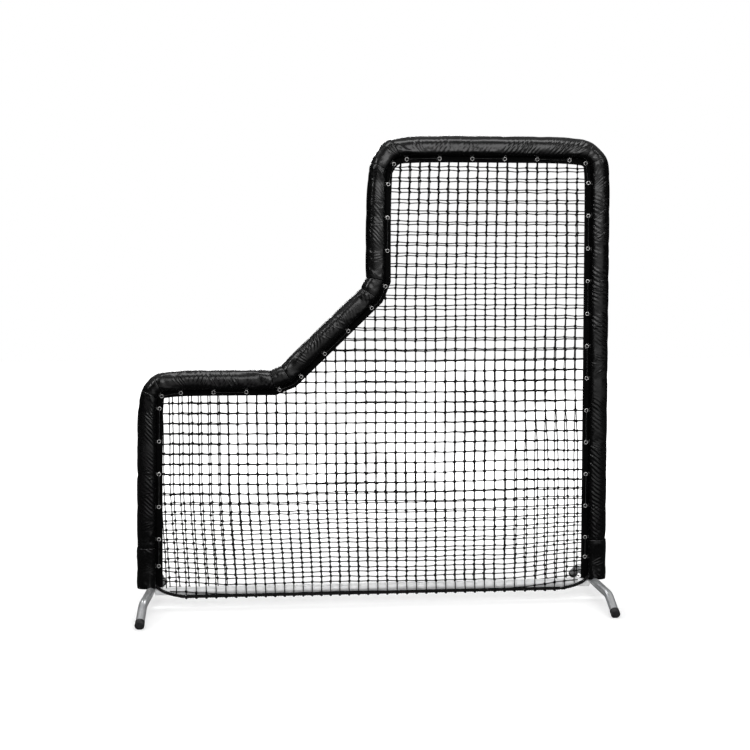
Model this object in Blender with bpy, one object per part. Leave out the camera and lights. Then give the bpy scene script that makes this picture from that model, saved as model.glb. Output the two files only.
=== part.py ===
"""A padded baseball L screen: bent tube frame on two bowed feet, laced pads and a double net.

Metres, +Z up. X runs across the screen with the notch at -X, Y runs from front to back, and the
origin is on the floor, in the middle of the screen.
"""

import math

import bmesh
import bpy
from mathutils import Matrix, Vector
from mathutils.geometry import delaunay_2d_cdt

# Sizes of the frame, over its tubes
FRAME_WIDTH = 2.134
FRAME_HEIGHT = 2.134
LOW_SIDE_HEIGHT = 1.060
UPPER_WIDTH = 1.0668
NOTCH_RUN = 0.450
NOTCH_RISE = 0.433

# Tube stock, its bends and its slip joints
TUBE_DIAMETER = 0.0381
TUBE_WALL = 0.00165
CORNER_RADIUS = 0.0635
TOP_LEFT_RADIUS = 0.1016
NOTCH_RADIUS = 0.200
SPIGOT_LENGTH = 0.060
SWAGE_TAPER = 0.004
SLIP_CLEARANCE = 0.00035
SEAT_GAP = 0.0003
STUB_LENGTH = 0.110
TUBE_SIDES = 12
LEG_SIDES = 12
BEND_STEPS = 4
NOTCH_STEPS = 3
LOW_JOINT_SHARE = 0.45
UPPER_JOINT_SHARE = 0.40
TOP_JOINT_SHARE = 0.50
RIGHT_JOINT_SHARE = 0.52

# Feet: a short tee under each upright, a bowed leg before and behind it, rubber caps
FOOT_HEIGHT = 0.078
RAIL_HEIGHT = 0.070
TEE_LENGTH = 0.104
LEG_REACH = 0.420
LEG_BEND_RADIUS = 0.120
LEG_DROP_ANGLE = math.radians(26)
CAP_WALL = 0.0019
CAP_LENGTH = 0.026
CAP_END = 0.0045
CAP_DOME = 0.0012
SOLE_CUT = 0.0025

# Snap buttons that lock the legs, and the bent leaf springs under them
BUTTON_RADIUS = 0.0040
BUTTON_HOLE_CLEARANCE = 0.0004
BUTTON_INSET = 0.024
BUTTON_PROUD = 0.0030
BUTTON_DOME = 0.0010
FLANGE_LIP = 0.0013
FLANGE_THICKNESS = 0.0015
BUTTON_SIDES = 10
SPRING_WIDTH = 0.0056
SPRING_THICKNESS = 0.0007
SPRING_REACH = 0.032

# Pads: foam sleeves round the tubes in vinyl covers, whose two flaps are laced together
ROLL_RADIUS = 0.043
ROLL_OFFSET = 0.013
ROOT_STEP = 0.001
LACE_SET = 0.011
HEM_WIDTH = 0.016
COVER_WALL = 0.0018
ROOT_PUCKER = 0.0008
LACE_PITCH = 0.1524
LACE_PINCH = 0.0015
EDGE_SCALLOP = 0.0015
SEAM_PINCH_SHARE = 0.6
SEAM_GAP = 0.0004
CORNER_CUT = 0.052
TOP_LEFT_CUT = 0.088
NOTCH_CUT = 0.042
SLACK_SHARE = 0.21
PAD_RAIL_CLEARANCE = 0.001
SADDLE_CLEARANCE = 0.001
BOOT_LENGTH = 0.190
BOOT_FLARE = 0.002
EYELET_RADIUS = 0.0055
EYELET_SIDES = 6
ROLL_STEPS = 10

# Lace holes: how far the first and the last on each run lie from the run's corners
LEFT_LACE = (0.100, 0.115)
LOW_LACE = (0.147, 0.150)
NOTCH_LACE = (0.083, 0.083)
LOW_GORE_SHARE = 0.2
HIGH_GORE_SHARE = 0.8
UPPER_LEFT_LACE = (0.165, 0.161)
TOP_LACE = (0.133, 0.130)
RIGHT_LACE = (0.149, 0.105)

# Net: two layers of knotted mesh, of which every NET_SKIP-th strand is modelled
NET_MESH = 0.04445
NET_SKIP = 4
STRAND = 0.0030
LAYER_GAP = 0.0004
NET_TUCK = 0.009
INSIDE_ONLY = 1
RAIL_PASS = 0.00345
FLARE_HEIGHT = 0.250
FLARE_CLEARANCE = 0.009
FLARE_RUN = 0.009
NET_CORNER = ((0.049, 0.0), (0.027, 0.050), (0.014, 0.095), (0.0, 0.165))

# Cords
ROPE_RADIUS = 0.0050
ROPE_HEIGHT = 0.044
ROPE_SPACING = 0.200
ROPE_STEPS = (0.95, 0.45)
LACE_RADIUS = 0.0020
LACE_STEP = 0.0030
TAIL_END = 0.062
TAIL_CLEARANCE = 0.00495

OVERRUN = 0.010
DEPTH = Vector((0, 1, 0))
UP = Vector((0, 0, 1))
ACROSS = Vector((1, 0, 0))

tube_r = TUBE_DIAMETER / 2
bore_r = tube_r - TUBE_WALL
spigot_r = bore_r - SLIP_CLEARANCE
spigot_bore_r = spigot_r - TUBE_WALL
half_span = FRAME_WIDTH / 2 - tube_r
top_z = FRAME_HEIGHT - tube_r
low_z = LOW_SIDE_HEIGHT - tube_r
upper_x = half_span - (UPPER_WIDTH - TUBE_DIAMETER)
pad_bottom = RAIL_HEIGHT + tube_r + PAD_RAIL_CLEARANCE
slit = LAYER_GAP / 2 + STRAND + LAYER_GAP
flap_half = slit + COVER_WALL
flap_root = ROLL_RADIUS - ROLL_OFFSET + ROOT_STEP
lace_line = flap_root + LACE_SET
flap_reach = lace_line + HEM_WIDTH
net_inset = flap_reach - NET_TUCK
flare_start = NET_TUCK + FLARE_CLEARANCE
net_flare = tube_r + ROPE_RADIUS + RAIL_PASS
tail_back = tube_r + LACE_RADIUS + TAIL_CLEARANCE
layer_middle = LAYER_GAP / 2 + STRAND / 2
net_bottom = ROPE_HEIGHT + ROPE_RADIUS + SEAT_GAP

for old in list(bpy.data.objects):
    bpy.data.objects.remove(old, do_unlink=True)


def finish(name, color, roughness, metallic=0.0):
    """A plain Principled material."""
    material = bpy.data.materials.new(name)
    material.use_nodes = True
    shader = material.node_tree.nodes["Principled BSDF"]
    shader.inputs["Base Color"].default_value = (*color, 1.0)
    shader.inputs["Roughness"].default_value = roughness
    shader.inputs["Metallic"].default_value = metallic
    return material


def group(name, location):
    """An empty that carries the pieces of one assembly."""
    empty = bpy.data.objects.new(name, None)
    empty.location = location
    bpy.context.scene.collection.objects.link(empty)
    return empty


def piece(name, bm, color, roughness, metallic, origin, parent, cutter=False):
    """Turns a bmesh drawn in world places into an object with its origin at the given point."""
    bmesh.ops.recalc_face_normals(bm, faces=bm.faces)
    bmesh.ops.translate(bm, verts=bm.verts, vec=-Vector(origin))
    mesh = bpy.data.meshes.new(name)
    bm.to_mesh(mesh)
    bm.free()
    obj = bpy.data.objects.new(name, mesh)
    bpy.context.scene.collection.objects.link(obj)
    obj.parent = parent
    obj.location = Vector(origin) - parent.location
    if cutter:
        obj.hide_render = True
        obj.display_type = "WIRE"
    else:
        mesh.materials.append(finish(name, color, roughness, metallic))
        mesh.shade_smooth()
        mesh.set_sharp_from_angle(angle=math.radians(38))
    return obj


def steel(name, bm, origin, parent):
    return piece(name, bm, (0.55, 0.56, 0.57), 0.38, 1.0, origin, parent)


def cut(target, bm, parent):
    """Takes the shape of a bmesh out of an object with a Boolean modifier."""
    cutter = piece(target.name + "_cutter", bm, None, None, None, target.matrix_basis.translation
                   + parent.location, parent, cutter=True)
    modifier = target.modifiers.new("cut_" + str(len(target.modifiers)), "BOOLEAN")
    modifier.operation = "DIFFERENCE"
    modifier.solver = "EXACT"
    modifier.object = cutter


def ring(centre, axis, radius, sides, ref):
    """Points of a circle round an axis, the first one in the direction ref."""
    side = axis.normalized().cross(ref)
    turns = [2 * math.pi * i / sides for i in range(sides)]
    return [centre + radius * (ref * math.cos(a) + side * math.sin(a)) for a in turns]


def skin(bm, loops, closed=False):
    """Joins loops of points with faces; an open row of loops gets a cap at each end."""
    rows = [[bm.verts.new(p) for p in loop] for loop in loops]
    pairs = list(zip(rows, rows[1:])) + ([(rows[-1], rows[0])] if closed else [])
    for row, after in pairs:
        for i in range(len(row)):
            j = (i + 1) % len(row)
            bm.faces.new((row[i], row[j], after[j], after[i]))
    if not closed:
        bm.faces.new(rows[0])
        bm.faces.new(rows[-1])
    return bm


def turned(profile, base, axis, sides, ref):
    """A turned solid from (radius, height) steps along an axis."""
    return skin(bmesh.new(), [ring(base + axis * h, axis, r, sides, ref) for r, h in profile])


def fillet(points, radius_and_steps):
    """Stations (place, heading) along a bent line; each inner point gets its own bend."""
    stations = [(points[0], (points[1] - points[0]).normalized())]
    for i, (radius, steps) in enumerate(radius_and_steps, start=1):
        before = (points[i] - points[i - 1]).normalized()
        after = (points[i + 1] - points[i]).normalized()
        turn = before.angle(after)
        axis = before.cross(after).normalized()
        start = points[i] - before * radius * math.tan(turn / 2)
        centre = start + axis.cross(before) * radius
        for j in range(steps + 1):
            spin = Matrix.Rotation(turn * j / steps, 3, axis)
            stations.append((centre + spin @ (start - centre), spin @ before))
    stations.append((points[-1], (points[-1] - points[-2]).normalized()))
    return stations


def tube(name, stations, ref, parent, swaged=False, sides=TUBE_SIDES):
    """A bent tube with an open bore; a swaged end is drawn down to slip into the next tube."""
    sizes = [(p, d, tube_r, bore_r) for p, d in stations]
    if swaged:
        end, heading = stations[-1]
        neck = end + heading * SWAGE_TAPER
        sizes.append((neck, heading, spigot_r, spigot_bore_r))
        sizes.append((neck + heading * SPIGOT_LENGTH, heading, spigot_r, spigot_bore_r))
    outer = [ring(p, d, r, sides, ref) for p, d, r, _ in sizes]
    inner = [ring(p, d, r, sides, ref) for p, d, _, r in reversed(sizes)]
    return steel(name, skin(bmesh.new(), outer + inner, closed=True), stations[0][0], parent)


# The frame's corners, from the foot of the low side round to the foot of the high side
foot_top = FOOT_HEIGHT + tube_r + SEAT_GAP
LOW_CORNER = Vector((-half_span, 0, low_z))
NOTCH_LOW = Vector((upper_x - NOTCH_RUN, 0, low_z))
NOTCH_HIGH = Vector((upper_x, 0, low_z + NOTCH_RISE))
TOP_LEFT = Vector((upper_x, 0, top_z))
TOP_RIGHT = Vector((half_span, 0, top_z))

frame = group("frame", Vector((0, 0, 0)))
shoulder = SWAGE_TAPER + SEAT_GAP
low_joint = LOW_CORNER.lerp(NOTCH_LOW, LOW_JOINT_SHARE)
upper_joint = NOTCH_HIGH.lerp(TOP_LEFT, UPPER_JOINT_SHARE)
top_joint = TOP_LEFT.lerp(TOP_RIGHT, TOP_JOINT_SHARE)
right_foot_end = Vector((half_span, 0, foot_top))
right_joint = TOP_RIGHT.lerp(right_foot_end, RIGHT_JOINT_SHARE)

tube("low_side_tube", fillet(
    [Vector((-half_span, 0, foot_top)), LOW_CORNER, low_joint],
    [(CORNER_RADIUS, BEND_STEPS)]), DEPTH, frame, swaged=True)
tube("notch_tube", fillet(
    [low_joint + ACROSS * shoulder, NOTCH_LOW, NOTCH_HIGH, upper_joint],
    [(NOTCH_RADIUS, NOTCH_STEPS), (NOTCH_RADIUS, NOTCH_STEPS)]), DEPTH, frame, swaged=True)
tube("top_left_tube", fillet(
    [upper_joint + UP * shoulder, TOP_LEFT, top_joint],
    [(TOP_LEFT_RADIUS, BEND_STEPS)]), DEPTH, frame, swaged=True)
tube("top_right_tube", fillet(
    [top_joint + ACROSS * shoulder, TOP_RIGHT, right_joint],
    [(CORNER_RADIUS, BEND_STEPS)]), DEPTH, frame, swaged=True)
tube("high_side_tube", fillet([right_joint - UP * shoulder, right_foot_end], []), DEPTH, frame)
rail_end = half_span - tube_r - PAD_RAIL_CLEARANCE
tube("bottom_rail", fillet([Vector((-rail_end, 0, RAIL_HEIGHT)), Vector((rail_end, 0, RAIL_HEIGHT))],
                           []), DEPTH, frame)


def foot(side, x):
    """One foot: tee, welded stubs, two legs, caps, snap buttons and leaf springs."""
    base = Vector((x, 0, FOOT_HEIGHT))
    parent = group(side + "_foot", base)
    inward = ACROSS * (-1 if x > 0 else 1)
    half = TEE_LENGTH / 2
    necks = [(half + SWAGE_TAPER + SPIGOT_LENGTH, spigot_r, spigot_bore_r),
             (half + SWAGE_TAPER, spigot_r, spigot_bore_r), (half, tube_r, bore_r)]
    sizes = [(-d, r, b) for d, r, b in necks] + [(d, r, b) for d, r, b in reversed(necks)]
    outer = [ring(base + DEPTH * d, DEPTH, r, LEG_SIDES, ACROSS) for d, r, _ in sizes]
    inner = [ring(base + DEPTH * d, DEPTH, b, LEG_SIDES, ACROSS) for d, _, b in reversed(sizes)]
    tee = steel(side + "_foot_tee", skin(bmesh.new(), outer + inner, closed=True), base, parent)

    rail_root = Vector((x, 0, RAIL_HEIGHT)) + inward * (spigot_r + SEAT_GAP)
    for name, start, heading, length in (
            (side + "_upright_stub", base, UP, tube_r + STUB_LENGTH),
            (side + "_rail_stub", rail_root, inward, STUB_LENGTH)):
        end = start + heading * length
        rings = [ring(start, heading, spigot_r, TUBE_SIDES, DEPTH),
                 ring(end, heading, spigot_r, TUBE_SIDES, DEPTH),
                 ring(end, heading, spigot_bore_r, TUBE_SIDES, DEPTH),
                 ring(start, heading, spigot_bore_r, TUBE_SIDES, DEPTH)]
        stub = steel(name, skin(bmesh.new(), rings, closed=True), end, parent)
        saddle = skin(bmesh.new(), [ring(base + DEPTH * d, DEPTH, tube_r + SEAT_GAP, LEG_SIDES, ACROSS)
                                    for d in (-half, half)])
        cut(stub, saddle, parent)

    slope = math.sin(LEG_DROP_ANGLE)
    cap_r = tube_r + SEAT_GAP + CAP_WALL
    toe_z = cap_r * math.cos(LEG_DROP_ANGLE) - SOLE_CUT
    knee_to_toe = (FOOT_HEIGHT - toe_z) / slope
    knee_reach = LEG_REACH - knee_to_toe * math.cos(LEG_DROP_ANGLE)
    for end_name, way in (("front", -1), ("rear", 1)):
        out = DEPTH * way
        drop = (out * math.cos(LEG_DROP_ANGLE) - UP * slope).normalized()
        toe = base + out * LEG_REACH + UP * (toe_z - FOOT_HEIGHT)
        heel = base + out * (half + SWAGE_TAPER + SEAT_GAP)
        knee = base + out * knee_reach
        stations = fillet([heel, knee, toe - drop * (CAP_END + SEAT_GAP)],
                          [(LEG_BEND_RADIUS, NOTCH_STEPS)])
        name = side + "_" + end_name
        leg = tube(name + "_leg", stations, ACROSS, parent, sides=LEG_SIDES)

        cap = turned([(tube_r + SEAT_GAP, -CAP_END), (tube_r + SEAT_GAP, -CAP_LENGTH),
                      (cap_r, -CAP_LENGTH), (cap_r, -CAP_DOME), (cap_r - CAP_WALL, 0)],
                     toe, drop, LEG_SIDES, ACROSS)
        level = bmesh.ops.bisect_plane(cap, geom=cap.verts[:] + cap.edges[:] + cap.faces[:],
                                       plane_co=(0, 0, 0), plane_no=(0, 0, -1), clear_outer=True)
        rim = [e for e in level["geom_cut"] if isinstance(e, bmesh.types.BMEdge)]
        bmesh.ops.holes_fill(cap, edges=rim)
        piece(name + "_cap", cap, (0.02, 0.02, 0.02), 0.6, 0.0, toe, parent)

        seat = base + out * (half + SWAGE_TAPER + BUTTON_INSET)
        hole_r = BUTTON_RADIUS + BUTTON_HOLE_CLEARANCE
        for carrier in (tee, leg):
            drill = skin(bmesh.new(), [ring(seat + UP * h, UP, hole_r, BUTTON_SIDES, ACROSS)
                                       for h in (0, tube_r + OVERRUN)])
            cut(carrier, drill, parent)
        flange_r = BUTTON_RADIUS + FLANGE_LIP
        flange_top = math.sqrt((spigot_bore_r * math.cos(math.pi / LEG_SIDES)) ** 2
                               - flange_r ** 2) - SEAT_GAP
        flange_base = flange_top - FLANGE_THICKNESS
        crown = tube_r + BUTTON_PROUD
        button = turned([(flange_r, flange_base), (flange_r, flange_top), (BUTTON_RADIUS, flange_top),
                         (BUTTON_RADIUS, crown - BUTTON_DOME), (BUTTON_RADIUS / 2, crown)],
                        seat, UP, BUTTON_SIDES, ACROSS)
        piece(name + "_button", button, (0.75, 0.76, 0.78), 0.2, 1.0, seat, parent)

        floor = -spigot_bore_r * math.cos(math.pi / LEG_SIDES) + SEAT_GAP
        high = flange_base - SEAT_GAP
        nose = (floor + high) / 2
        back = -out * SPRING_REACH
        t = SPRING_THICKNESS
        tip = out * BUTTON_RADIUS
        outside = [tip + UP * high, UP * high, back - out * t + UP * nose, UP * floor,
                   tip + UP * floor]
        inside = [tip + UP * (floor + t), UP * (floor + t), back + out * t + UP * nose,
                  UP * (high - t), tip + UP * (high - t)]
        leaf = skin(bmesh.new(), [[seat + p + ACROSS * w for p in outside + inside]
                                  for w in (-SPRING_WIDTH / 2, SPRING_WIDTH / 2)])
        steel(name + "_spring", leaf, seat, parent)


foot("left", -half_span)
foot("right", half_span)


def seam_line(corners):
    """The pads' line: the frame's line with each bend cut short by one straight gore.

    corners holds (point, tube radius, cut) rows. Returns seam places, each with the vector
    that one unit of inward distance moves there; bend number i has seams 2i + 1 and 2i + 2.
    """
    points = [row[0] for row in corners]
    inward = (points[1] - points[0]).normalized().cross(-DEPTH)
    places = [(points[0], inward)]
    for i, (point, _, reach) in enumerate(corners[1:-1], start=1):
        before = (point - points[i - 1]).normalized()
        after = (points[i + 1] - point).normalized()
        gore = (before + after).normalized()
        for spot, straight in ((point - before * reach, before), (point + after * reach, after)):
            mitre = (straight + gore).normalized()
            places.append((spot, mitre.cross(-DEPTH) / mitre.dot(gore)))
    inward = (points[-1] - points[-2]).normalized().cross(-DEPTH)
    return [*places, (points[-1], inward)]


pads = group("padding", Vector((0, 0, 0)))
LOW_END = Vector((-half_span, 0, pad_bottom))
HIGH_END = Vector((half_span, 0, pad_bottom))
CORNERS = [(LOW_END, 0, 0), (LOW_CORNER, CORNER_RADIUS, CORNER_CUT),
           (NOTCH_LOW, NOTCH_RADIUS, NOTCH_CUT), (NOTCH_HIGH, NOTCH_RADIUS, NOTCH_CUT),
           (TOP_LEFT, TOP_LEFT_RADIUS, TOP_LEFT_CUT), (TOP_RIGHT, CORNER_RADIUS, CORNER_CUT),
           (HIGH_END, 0, 0)]
seams = seam_line(CORNERS)


def lace_places(start, end, insets):
    """Even lace holes along a run, measured from its start, with one more to close a long rest."""
    length = (end - start).length
    heading = (end - start).normalized()
    inward = heading.cross(-DEPTH)
    first, last = insets
    room = length - first - last
    count = int(room / LACE_PITCH + SLIP_CLEARANCE) + 1
    spots = [first + i * LACE_PITCH for i in range(count)]
    if room - (count - 1) * LACE_PITCH > LACE_PITCH / 2:
        spots.append(length - last)
    return [start + heading * s + inward * lace_line for s in spots]


def gore_lace(bend, share=0.5):
    """The lace hole in the gore of a bend, a share of the way along it."""
    a, b = seams[2 * bend - 1][0], seams[2 * bend][0]
    return a.lerp(b, share) + (b - a).normalized().cross(-DEPTH) * lace_line


def backwards(start, end, insets):
    """Lace holes measured from the far end of a run, listed from its near end."""
    length = (end - start).length
    heading = (end - start).normalized()
    inward = heading.cross(-DEPTH)
    first, last = insets
    room = length - first - last
    count = int(room / LACE_PITCH + SLIP_CLEARANCE) + 1
    spots = [length - last - i * LACE_PITCH for i in range(count)]
    if room - (count - 1) * LACE_PITCH > LACE_PITCH / 2:
        spots.append(first)
    return [start + heading * s + inward * lace_line for s in reversed(spots)]


guides = [seams[i][0] + seams[i][1] * lace_line for i in (3, 4, 5, 6)]
stops = (backwards(LOW_END, LOW_CORNER, LEFT_LACE) + [gore_lace(1)]
         + lace_places(LOW_CORNER, NOTCH_LOW, LOW_LACE)
         + [guides[0], gore_lace(2, LOW_GORE_SHARE), guides[1]]
         + lace_places(NOTCH_LOW, NOTCH_HIGH, NOTCH_LACE)
         + [guides[2], gore_lace(3, HIGH_GORE_SHARE), guides[3]]
         + backwards(NOTCH_HIGH, TOP_LEFT, UPPER_LEFT_LACE) + [gore_lace(4)]
         + lace_places(TOP_LEFT, TOP_RIGHT, TOP_LACE) + [gore_lace(5)]
         + lace_places(TOP_RIGHT, HIGH_END, RIGHT_LACE))
eyelets = [spot for spot in stops if spot not in guides]


def cover_section(place, out, pinch, flare):
    """The cover's closed outline at one station: skin of the roll, both flaps and the slit."""
    roll = ROLL_RADIUS - pinch * LACE_PINCH + flare
    tip = flap_reach - pinch * EDGE_SCALLOP
    angles = [2 * math.pi * i / ROLL_STEPS for i in range(1, ROLL_STEPS)]
    outer = [(tip, -flap_half), (flap_root, -flap_half - ROOT_PUCKER)]
    outer += [(roll * math.cos(a) - ROLL_OFFSET, -roll * math.sin(a)) for a in angles]
    outer += [(flap_root, flap_half + ROOT_PUCKER), (tip, flap_half)]
    hollow = roll - COVER_WALL
    inner = [(tip, slit), (flap_root - COVER_WALL / 2, slit)]
    inner += [(hollow * math.cos(a) - ROLL_OFFSET, -hollow * math.sin(a)) for a in reversed(angles)]
    inner += [(flap_root - COVER_WALL / 2, -slit), (tip, -slit)]
    return [place + out * n + DEPTH * y for n, y in outer + inner]


def cover(name, start, end, out_start, out_end, flare=0.0):
    """One sewn panel of the cover, pinched at its lace holes and full between them."""
    heading = (end - start).normalized()
    inward = heading.cross(-DEPTH)
    length = (end - start).length
    own = []
    for spot in eyelets:
        s = (spot - start).dot(heading)
        if (-EYELET_RADIUS < s < length + EYELET_RADIUS
                and abs((spot - start).dot(inward) - lace_line) < EYELET_RADIUS):
            own.append((s, spot))
    own.sort(key=lambda row: row[0])
    pinched = [s for s, _ in own if EYELET_RADIUS < s < length - EYELET_RADIUS]
    marks = [0, *pinched, length]
    stations = [(start + heading * SEAM_GAP / 2, out_start, SEAM_PINCH_SHARE)]
    for i in range(1, len(marks)):
        if marks[i] - marks[i - 1] > LACE_PITCH / 2 + EYELET_RADIUS:
            stations.append((start + heading * (marks[i] + marks[i - 1]) / 2, inward, 0))
        if i < len(marks) - 1:
            stations.append((start + heading * marks[i], inward, 1))
    stations.append((end - heading * SEAM_GAP / 2, out_end, SEAM_PINCH_SHARE))
    bm = skin(bmesh.new(), [cover_section(p, out, pinch, flare) for p, out, pinch in stations])
    obj = piece(name, bm, (0.015, 0.015, 0.017), 0.3, 0.0, start, pads)
    if own:
        punch = bmesh.new()
        for _, spot in own:
            reach = DEPTH * (flap_half + OVERRUN)
            skin(punch, [ring(spot + side, DEPTH, EYELET_RADIUS, EYELET_SIDES, inward)
                         for side in (-reach, reach)])
        cut(obj, punch, pads)
    return obj


def saddle_cut(obj, x):
    """The arch in a pad's foot that clears the tee of the foot below it."""
    radius = tube_r + SADDLE_CLEARANCE
    reach = DEPTH * (ROLL_RADIUS + OVERRUN)
    centre = Vector((x, 0, FOOT_HEIGHT))
    cut(obj, skin(bmesh.new(), [ring(centre + side, DEPTH, radius, LEG_SIDES, ACROSS)
                                for side in (-reach, reach)]), pads)


PANELS = ["cover_left", "cover_low_corner", "cover_low_top", "cover_notch_low", "cover_notch",
          "cover_notch_high", "cover_upper_left", "cover_top_left", "cover_top",
          "cover_top_right", "cover_right"]
left_boot_top = LOW_END + UP * BOOT_LENGTH
right_boot_top = HIGH_END + UP * BOOT_LENGTH
saddle_cut(cover("cover_left_boot", LOW_END, left_boot_top, ACROSS, ACROSS, BOOT_FLARE), -half_span)
saddle_cut(cover("cover_right_boot", right_boot_top, HIGH_END, -ACROSS, -ACROSS, BOOT_FLARE),
           half_span)
for i, name in enumerate(PANELS):
    (start, out_start), (end, out_end) = seams[i][:2], seams[i + 1][:2]
    if i == 0:
        start = left_boot_top
    if i == len(PANELS) - 1:
        end = right_boot_top
    cover(name, start, end, out_start, out_end)


def foam(name, stations):
    """A foam sleeve with its bore round the tube; stations are (place, out, bore shift, slack)."""
    outer_r = ROLL_RADIUS - COVER_WALL - LACE_PINCH - SEAT_GAP
    angles = [2 * math.pi * i / ROLL_STEPS for i in range(ROLL_STEPS)]
    outer, inner = [], []
    for place, out, shift, slack in stations:
        hole = (tube_r + SEAT_GAP + slack) / math.cos(math.pi / ROLL_STEPS)
        outer.append([place + out * (outer_r * math.cos(a) - ROLL_OFFSET)
                      - DEPTH * outer_r * math.sin(a) for a in angles])
        inner.append([place + out * (hole * math.cos(a) + shift) - DEPTH * hole * math.sin(a)
                      for a in angles])
    bm = skin(bmesh.new(), outer + inner[::-1], closed=True)
    piece(name, bm, (0.30, 0.30, 0.31), 0.95, 0.0, stations[0][0], pads)


def half_bend(bend, first_half):
    """Foam stations through one half of a bend, from or to its middle."""
    points = [row[0] for row in CORNERS[bend - 1:bend + 2]]
    radius = CORNERS[bend][1]
    before = (points[1] - points[0]).normalized()
    after = (points[2] - points[1]).normalized()
    turn = before.angle(after)
    slack = radius * (1 - math.cos(turn * SLACK_SHARE)) + SEAT_GAP
    reach = radius * math.tan(turn / 2)
    start = points[1] - before * reach
    centre = start + before.cross(after).normalized().cross(before) * radius

    def station(place, out):
        spoke = place - centre
        half = spoke.dot(out)
        root = math.sqrt(max(half ** 2 - out.dot(out) * (spoke.dot(spoke) - radius ** 2), 0))
        shift = min(((-half + root) / out.dot(out), (-half - root) / out.dot(out)), key=abs)
        return place, out, shift, slack

    first, second = seams[2 * bend - 1], seams[2 * bend]
    heading = (before + after).normalized()
    gap = heading * SEAT_GAP * (-1 if first_half else 1)
    middle = station((first[0] + second[0]) / 2 + gap, heading.cross(-DEPTH))
    if first_half:
        return [(start, before.cross(-DEPTH), 0.0, slack), station(*first), middle]
    return [middle, station(*second), (points[1] + after * reach, after.cross(-DEPTH), 0.0, slack)]


foam_foot = foot_top - pad_bottom
FOAMS = ["foam_left", "foam_low_top", "foam_notch", "foam_upper_left", "foam_top", "foam_right"]
for i, name in enumerate(FOAMS):
    head = half_bend(i, False) if i else [(LOW_END + UP * foam_foot, ACROSS, 0.0, 0.0)]
    if i < len(FOAMS) - 1:
        tail = half_bend(i + 1, True)
    else:
        tail = [(HIGH_END + UP * foam_foot, -ACROSS, 0.0, 0.0)]
    foam(name, head + tail)


def inset_corner(before, corner, after, distance):
    """Where two lines meet that run a distance inside the frame's line, past one corner."""
    a = (corner - before).normalized()
    b = (after - corner).normalized()
    out = ((a + b) / 2).normalized().cross(-DEPTH)
    return corner + out * distance / math.cos(a.angle(b) / 2)


def clipped(shape, edge_start, edge_end, inset):
    """A convex shape (x, z), cut by the line that runs inset inside an outline's edge."""
    along = (edge_end - edge_start).normalized()
    inside = Vector((along.y, -along.x))
    kept = []
    for p, q in zip(shape, shape[1:] + shape[:1]):
        dp = (p - edge_start).dot(inside) - inset
        dq = (q - edge_start).dot(inside) - inset
        if dp >= 0:
            kept.append(p)
        if dp * dq < 0:
            kept.append(p.lerp(q, dp / (dp - dq)))
    return kept


def flare_at(x, z):
    """How far a net layer stands off the frame's plane, to pass the bottom rail."""
    across = (half_span - net_inset - abs(x) - flare_start) / FLARE_RUN
    along = 1 - (z - net_bottom) / FLARE_HEIGHT
    part = min(max(across, 0), 1) * min(max(along, 0), 1)
    return layer_middle + (net_flare - layer_middle) * part


def net_panel(name, outline, row_pitch, way, parent):
    """One flat of knotted net as a lattice of square strands inside a border strand."""
    low_x = min(p.x for p in outline)
    high_x = max(p.x for p in outline)
    top = max(p.y for p in outline)
    columns = max(1, round((high_x - low_x) / (NET_MESH * NET_SKIP)))
    column_pitch = (high_x - low_x) / columns
    bm = bmesh.new()
    border = []
    for a, b in zip(outline, outline[1:] + outline[:1]):
        levels = [net_bottom + row_pitch, net_bottom + 2 * row_pitch]
        shares = sorted((z - a.y) / (b.y - a.y) for z in levels if (z - a.y) * (z - b.y) < 0)
        border += [a, *(a.lerp(b, share) for share in shares)]
    loops = [border]
    for i in range(columns):
        row = 0
        while net_bottom + row * row_pitch < top - STRAND:
            x0, x1 = low_x + i * column_pitch, low_x + (i + 1) * column_pitch
            z0, z1 = net_bottom + row * row_pitch, net_bottom + (row + 1) * row_pitch
            half = STRAND / 2
            cell = [Vector((x0 + half, z0 + half)), Vector((x0 + half, z1 - half)),
                    Vector((x1 - half, z1 - half)), Vector((x1 - half, z0 + half))]
            for a, b in zip(outline, outline[1:] + outline[:1]):
                cell = clipped(cell, a, b, STRAND) if cell else cell
            if len(cell) > 2:
                wide = max(p.x for p in cell) - min(p.x for p in cell)
                tall = max(p.y for p in cell) - min(p.y for p in cell)
                if min(wide, tall) > STRAND * 2:
                    loops.append(cell)
            row += 1
    points, areas = [], []
    for loop in loops:
        areas.append(list(range(len(points) + len(loop) - 1, len(points) - 1, -1)))
        points += loop
    flat = delaunay_2d_cdt(points, [], areas, INSIDE_ONLY, STRAND / 1000)
    verts = [bm.verts.new((p.x, 0, p.y)) for p in flat[0]]
    for face, inside in zip(flat[2], flat[5]):
        if inside == [0]:
            bm.faces.new([verts[i] for i in face])
    bmesh.ops.delete(bm, geom=[v for v in verts if not v.link_faces], context="VERTS")
    made = bmesh.ops.extrude_face_region(bm, geom=bm.faces[:])
    back = {v for v in made["geom"] if isinstance(v, bmesh.types.BMVert)}
    for vert in bm.verts:
        side = STRAND / 2 if vert in back else -STRAND / 2
        vert.co.y = way * flare_at(vert.co.x, vert.co.z) + side
    origin = Vector(((low_x + high_x) / 2, way * layer_middle, top))
    piece(name, bm, (0.02, 0.02, 0.02), 0.8, 0.0, origin, parent)


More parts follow.
